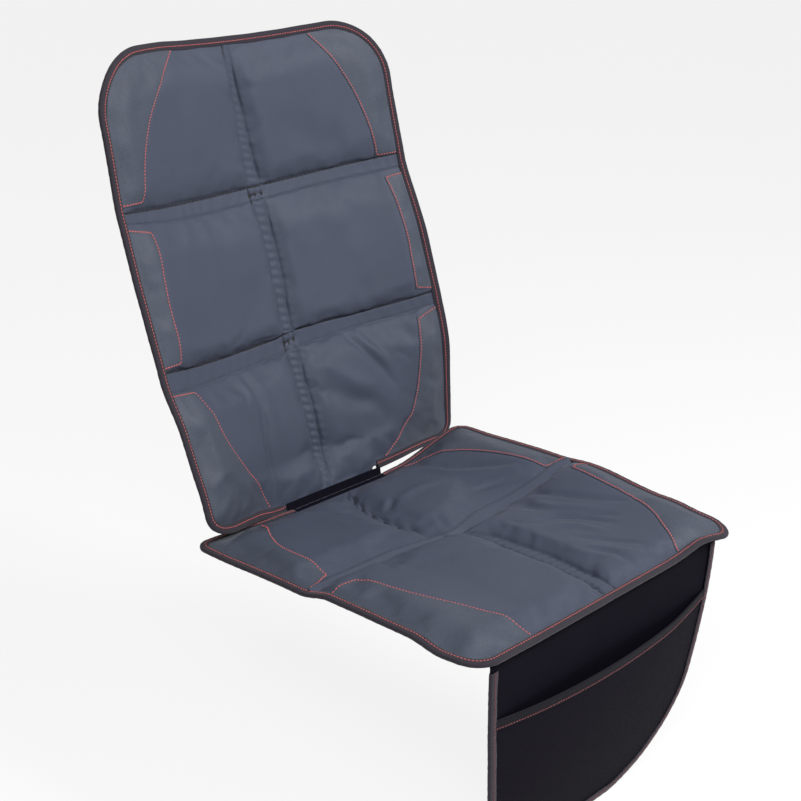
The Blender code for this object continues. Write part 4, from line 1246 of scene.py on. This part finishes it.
# %% Make the flap cloth
drops = spaced((-0.012, -0.003, 0.0, 0.003, 0.069, 0.1675, 0.26, 0.278, FLAP_DROP), 0.006)
flap = flat_grid("flap_cloth", np.linspace(-1, 1, 73), drops)
spots = points_of(flap)
flap_u, flap_t = spots[:, 0] * flap_half(spots[:, 1]), spots[:, 1]
keep_pattern(flap, flap_u, flap_t)
place_points(flap, lay(flap_sheet, flap_u, flap_t, np.full(len(flap_u), 0.0001)))
flip_faces(flap)
apply_modifier(flap, "SOLIDIFY", thickness=0.0008, offset=1.0)
finish_piece(flap, flap_weave, ["flap_panel"], 50)


# %% [markdown]
# The pocket covers the lower part of the flap. Its mouth sags a little in the middle and
# stands open, with a folded hem whose rolled top edge catches the light.

# %% Make the pocket
pocket = flat_grid("pocket_mesh_cloth", np.linspace(-1, 1, 73), np.linspace(0, 1, 43))
spots = points_of(pocket)
pocket_low = FLAP_DROP - 0.004
pocket_u = spots[:, 0] * (flap_half(np.minimum(spots[:, 1], pocket_low)) - 0.006)
pocket_t = mouth(pocket_u) + (pocket_low - mouth(pocket_u)) * spots[:, 1]
pocket_u = spots[:, 0] * (flap_half(pocket_t) - 0.006)
keep_pattern(pocket, pocket_u, pocket_t)
place_points(pocket, lay(flap_sheet, pocket_u, pocket_t, 0.0014 + pocket_gape(pocket_u, pocket_t)))
flip_faces(pocket)
apply_modifier(pocket, "SOLIDIFY", thickness=0.0007, offset=1.0)
finish_piece(pocket, mesh_finish, ["pocket_panel"], 50)


# %% Make the hem of the pocket
hem_across = np.linspace(-1, 1, 97)
hem_section = np.array([
    (0.0112, 0.0004), (0.0112, 0.0010), (0.0060, 0.0013), (0.0018, 0.0014), (0.0002, 0.0016),
    (-0.0012, 0.0012), (-0.0018, 0.0002), (-0.0012, -0.0008), (0.0002, -0.0010), (0.0010, -0.0004),
    (0.0012, 0.0003),
])
hem = flat_grid("pocket_hem_fold", hem_across, np.linspace(0, 1, len(hem_section) + 1))
spots = points_of(hem)
ring = np.rint(spots[:, 1] * len(hem_section)).astype(int) % len(hem_section)
hem_u = spots[:, 0] * (flap_half(0.075) - 0.0085)
hem_t = mouth(hem_u) + hem_section[ring, 0]
keep_pattern(hem, hem_u, hem_t + hem_section[ring, 1])
hem_height = 0.0023 + hem_section[ring, 1] + pocket_gape(hem_u, np.maximum(hem_t, mouth(hem_u)))
place_points(hem, lay(flap_sheet, hem_u, hem_t, hem_height))
close_tube(hem)
hem_weave = woven("hem_cloth", (0.0048, 0.0044, 0.0072), (0.0120, 0.0115, 0.0160), 0.6, 0.0007, 0.06, 0.5, 0.0)
finish_piece(hem, hem_weave, ["pocket_hem"], 60)

# %% Tape round the flap
flap_side = np.concatenate([np.linspace(0.008, 0.16, 30), np.linspace(0.165, FLAP_DROP - 0.0002, 60)])
right_edge = np.stack([flap_half(flap_side), flap_side], -1)
flap_marks = np.concatenate([right_edge * (-1, 1), right_edge[::-1]])
flap_run = resample(flap_marks, 0.004)
tape("flap_binding_tape", flap_sheet, flap_run[::-1], 0.0021, "flap_binding", 7)


# %% [markdown]
# ## The joint and the strap
# A short gusset bridges seat and back between the two belt slots. It is coloured with the
# near-black flap cloth: painted shade for the deep line of the joint, where the mat has the
# same face cloth as the panels. Behind the top of the back panel an elastic strap, sewn down
# at both ends, goes round the headrest's posts.

# %% Make the joint gusset
gusset_run = np.array([
    (0.2085, 0.0030), (0.2125, 0.0030), (0.2155, 0.0022), (0.2178, 0.0010), (0.2198, 0.0014),
    (0.2206, 0.0045), (0.2212, 0.0085), (0.2216, 0.0120),
])
gusset = flat_grid("joint_gusset_painted_shade", np.linspace(-0.0850, 0.0826, 85), np.linspace(0, 1, len(gusset_run)))
spots = points_of(gusset)
k = np.rint(spots[:, 1] * (len(gusset_run) - 1)).astype(int)
ripple = 0.0006 * np.sin(spots[:, 0] / 0.0021) * np.sin(spots[:, 0] / 0.0137 + 0.5)
ripple *= np.sin(np.pi * spots[:, 1])
keep_pattern(gusset, spots[:, 0], spots[:, 1] * 0.016)
place_points(gusset, np.stack([spots[:, 0], gusset_run[k, 0] - ripple, gusset_run[k, 1] + ripple], -1))
apply_modifier(gusset, "SOLIDIFY", thickness=0.001, offset=1.0)
# The near-black flap cloth on the gusset is painted shade for the dark line of the joint.
finish_piece(gusset, flap_weave, ["joint_gusset"], 60)

# %% Make the headrest strap
strap = flat_grid("headrest_strap_band", np.linspace(-0.15, 0.15, 61), np.linspace(0.4825, 0.5175, 8))
spots = points_of(strap)
keep_pattern(strap, spots[:, 1], spots[:, 0])
strap_height = -0.0004 - 0.0004 * np.sin(np.pi * np.clip((spots[:, 0] + 0.13) / 0.26, 0, 1))
place_points(strap, lay(back_sheet, spots[:, 0], spots[:, 1], strap_height))
flip_faces(strap)
apply_modifier(strap, "SOLIDIFY", thickness=0.0012, offset=1.0)
apply_modifier(strap, "BEVEL", width=0.0004, segments=2, limit_method="ANGLE")
finish_piece(strap, elastic_finish, ["headrest_strap"], 40)


# %% [markdown]
# ## Sewing
# One stitch is modelled, a small grain that dips at both ends, and is copied along every
# seam. Red thread runs round the panels' bindings and the patches, a duller red one round the
# flap and along the pocket's hem, and a dark thread holds the channels between the blocks.

# %% Model one stitch
start_clean()
bpy.ops.mesh.primitive_uv_sphere_add(segments=6, ring_count=5, radius=0.5, rotation=(0, math.pi / 2, 0))
bpy.ops.object.transform_apply(location=False, rotation=True, scale=False)
stitch = bpy.context.object
stitch_points = points_of(stitch)
stitch_points[:, 2] -= 2.6 * np.abs(stitch_points[:, 0]) ** 2.4
stitch_faces = [tuple(p.vertices) for p in stitch.data.polygons]
bpy.data.objects.remove(stitch)


# %% Copy it along a seam
def sew(name, rows, finish, width=0.00085, gap=0.12):
    verts, faces, flat = [], [], []
    for points, normals in rows:
        step = np.diff(points, axis=0)
        normal = (normals[:-1] + normals[1:]) / 2
        side = np.cross(normal, step)
        side /= np.linalg.norm(side, axis=1, keepdims=True)
        middle = (points[:-1] + points[1:]) / 2
        for a, d, n, s in zip(middle, step, normal, side):
            base = len(verts) * len(stitch_points)
            body = a + stitch_points[:, :1] * d * (1.0 - gap) + stitch_points[:, 1:2] * s * width
            verts.append(body + stitch_points[:, 2:] * n * width * 0.8)
            flat.append(stitch_points[:, :2])
            faces += [tuple(base + k for k in face) for face in stitch_faces]
    verts, flat = np.concatenate(verts), np.concatenate(flat)
    mesh = bpy.data.meshes.new(name)
    mesh.from_pydata(verts.tolist(), [], faces)
    piece = bpy.data.objects.new(name, mesh)
    bpy.context.scene.collection.objects.link(piece)
    keep_pattern(piece, flat[:, 0], flat[:, 1])
    finish_piece(piece, finish)


def seam_on_face(sheet, line, lift, pitch=0.0040):
    stops = resample(line, pitch)
    u, v = stops[:, 0], stops[:, 1]
    return on_face(sheet, u, v, lift), outward(sheet, u, v)


def seam_at(sheet, line, height, pitch=0.0040):
    stops = resample(line, pitch)
    u, v = stops[:, 0], stops[:, 1]
    return lay(sheet, u, v, np.full(len(u), height)), outward(sheet, u, v)


# %% Sew the edge tapes
for word, sheet, run, top in (
    ("back", back_sheet, back_run, FACE_TOP), ("seat", seat_sheet, seat_run, FACE_TOP),
    ("flap", flap_sheet, flap_run[::-1], 0.0021),
):
    line = run - sideways(run) * 0.0056
    rows = [seam_at(sheet, line, top + 0.0018)]
    under_points, under_normals = seam_at(sheet, line, -0.0014)
    rows.append((under_points, -under_normals))
    sew(f"{word}_binding_stitches", rows, dull_thread if word == "flap" else red_thread, 0.0014)


# %% Sew the patches
for panel, sheet in (("back", back_sheet), ("seat", seat_sheet)):
    rows = []
    for name, on_sheet, curve, side in patch_list():
        if on_sheet is not sheet:
            continue
        start, end, inner = curve
        outer = patch_edge(sheet, curve)
        line = inner + sideways(inner) * 0.0018
        if start is not None:
            line = np.concatenate([[outer[0] + (0, 0.0018)], line[1:]])
        if end is not None:
            line = np.concatenate([line[:-1], [outer[-1] - (0, 0.0018)]])
        rows.append(seam_on_face(sheet, line * (side, 1.0), 0.0011))
    sew(f"{panel}_patch_stitches", rows, red_thread, 0.0020)


# %% Sew the pocket's hem
hem_line = np.stack([np.linspace(-0.2, 0.2, 80), mouth(np.linspace(-0.2, 0.2, 80)) + 0.0088], -1)
stops = resample(hem_line, 0.004)
hem_points = lay(flap_sheet, stops[:, 0], stops[:, 1], 0.0036 + pocket_gape(stops[:, 0], stops[:, 1]))
sew("pocket_hem_stitches", [(hem_points, outward(flap_sheet, stops[:, 0], stops[:, 1]))], dull_thread, 0.0014)


# %% Sew the channels with dark thread
def channel_seam(sheet, drawn):
    drawn = resample(drawn, 0.004)
    return seam_on_face(sheet, np.stack(sewn(sheet, drawn[:, 0], drawn[:, 1]), -1), 0.0001)


rows = []
for seam in BACK_SEAMS:
    for level in (seam - CHANNEL + 0.0008, seam - 0.0022):
        rows.append(channel_seam(back_sheet, [(-0.2265, level), (0.2265, level)]))
for side in (-0.0062, 0.0062):
    for low, high in ((0.019, 0.194), (0.213, 0.379), (0.398, 0.581)):
        rows.append(channel_seam(back_sheet, [(side, low), (side, high)]))
sew("back_channel_stitches", rows, dark_thread, 0.0007)
rows = [channel_seam(seat_sheet, [(-0.2265, level), (0.2265, level)]) for level in (0.1768, 0.1930)]
for side in (-0.0062, 0.0062):
    for low, high in ((0.012, 0.175), (0.195, 0.424)):
        rows.append(channel_seam(seat_sheet, [(side, low), (side, high)]))
sew("seat_channel_stitches", rows, dark_thread, 0.0007)


# %% [markdown]
# ## Floor, light and camera
# The mat is shown on a plain white ground with soft light from above and in front, as in a
# studio. The camera has a long lens and stands to the front left, a little above the mat.

# %% Floor and backdrop
start_clean()
floor_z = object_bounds()[0][2] - 0.0005
bpy.ops.mesh.primitive_plane_add(size=30.0, location=(0, 0, floor_z))
floor = bpy.context.object
floor.name = "floor"
bpy.ops.object.transform_apply(location=True, rotation=False, scale=True)
floor_finish, nodes, links, shader = new_finish("pale_floor", (0.86, 0.86, 0.86), 0.9, 0.0)
rays = nodes.new("ShaderNodeLightPath")
glow = nodes.new("ShaderNodeEmission")
glow.inputs["Color"].default_value = (1.0, 1.0, 1.0, 1.0)
share = nodes.new("ShaderNodeMixShader")
links.new(math_node(nodes, links, "MULTIPLY", rays.outputs["Is Camera Ray"], 0.85), share.inputs["Fac"])
links.new(shader.outputs["BSDF"], share.inputs[1])
links.new(glow.outputs["Emission"], share.inputs[2])
links.new(share.outputs["Shader"], nodes["Material Output"].inputs["Surface"])
floor.data.materials.append(floor_finish)

# %% World light
world = bpy.data.worlds.new("studio")
bpy.context.scene.world = world
world.use_nodes = True
nodes, links = world.node_tree.nodes, world.node_tree.links
sky = nodes["Background"]
sky.inputs["Color"].default_value = (1.0, 1.0, 1.0, 1.0)
sky.inputs["Strength"].default_value = 0.24
white = nodes.new("ShaderNodeBackground")
white.inputs["Strength"].default_value = 1.0
rays = nodes.new("ShaderNodeLightPath")
share = nodes.new("ShaderNodeMixShader")
seen = math_node(nodes, links, "MAXIMUM", rays.outputs["Is Camera Ray"], rays.outputs["Is Glossy Ray"])
links.new(seen, share.inputs["Fac"])
links.new(sky.outputs["Background"], share.inputs[1])
links.new(white.outputs["Background"], share.inputs[2])
links.new(share.outputs["Shader"], nodes["World Output"].inputs["Surface"])


# %% Lamps
def soft_lamp(name, place, aim, size, power):
    start_clean()
    bpy.ops.object.light_add(type="AREA", location=place)
    lamp = bpy.context.object
    lamp.name = name
    lamp.data.shape = "DISK"
    lamp.data.size = size
    lamp.data.energy = power
    lamp.rotation_euler = (Vector(aim) - Vector(place)).to_track_quat("-Z", "Y").to_euler()


soft_lamp("key_lamp", (1.0, -1.4, 1.9), (0.0, 0.0, 0.15), 1.0, 64.0)
soft_lamp("front_lamp", (-1.3, -1.0, 1.5), (0.0, 0.0, 0.1), 1.0, 30.0)

# %% Camera
start_clean()
bpy.ops.object.camera_add(location=EYE)
camera = bpy.context.object
camera.name = "photo_camera"
camera.rotation_euler = Vector(-TOWARD_CAMERA).to_track_quat("-Z", "Y").to_euler()
camera.data.sensor_width = 36.0
camera.data.lens = FOCAL_PIXELS / PHOTO_PIXELS * camera.data.sensor_width
bpy.context.scene.camera = camera
bpy.context.scene.view_settings.view_transform = "Standard"
print("camera", tuple(round(x, 3) for x in camera.location))
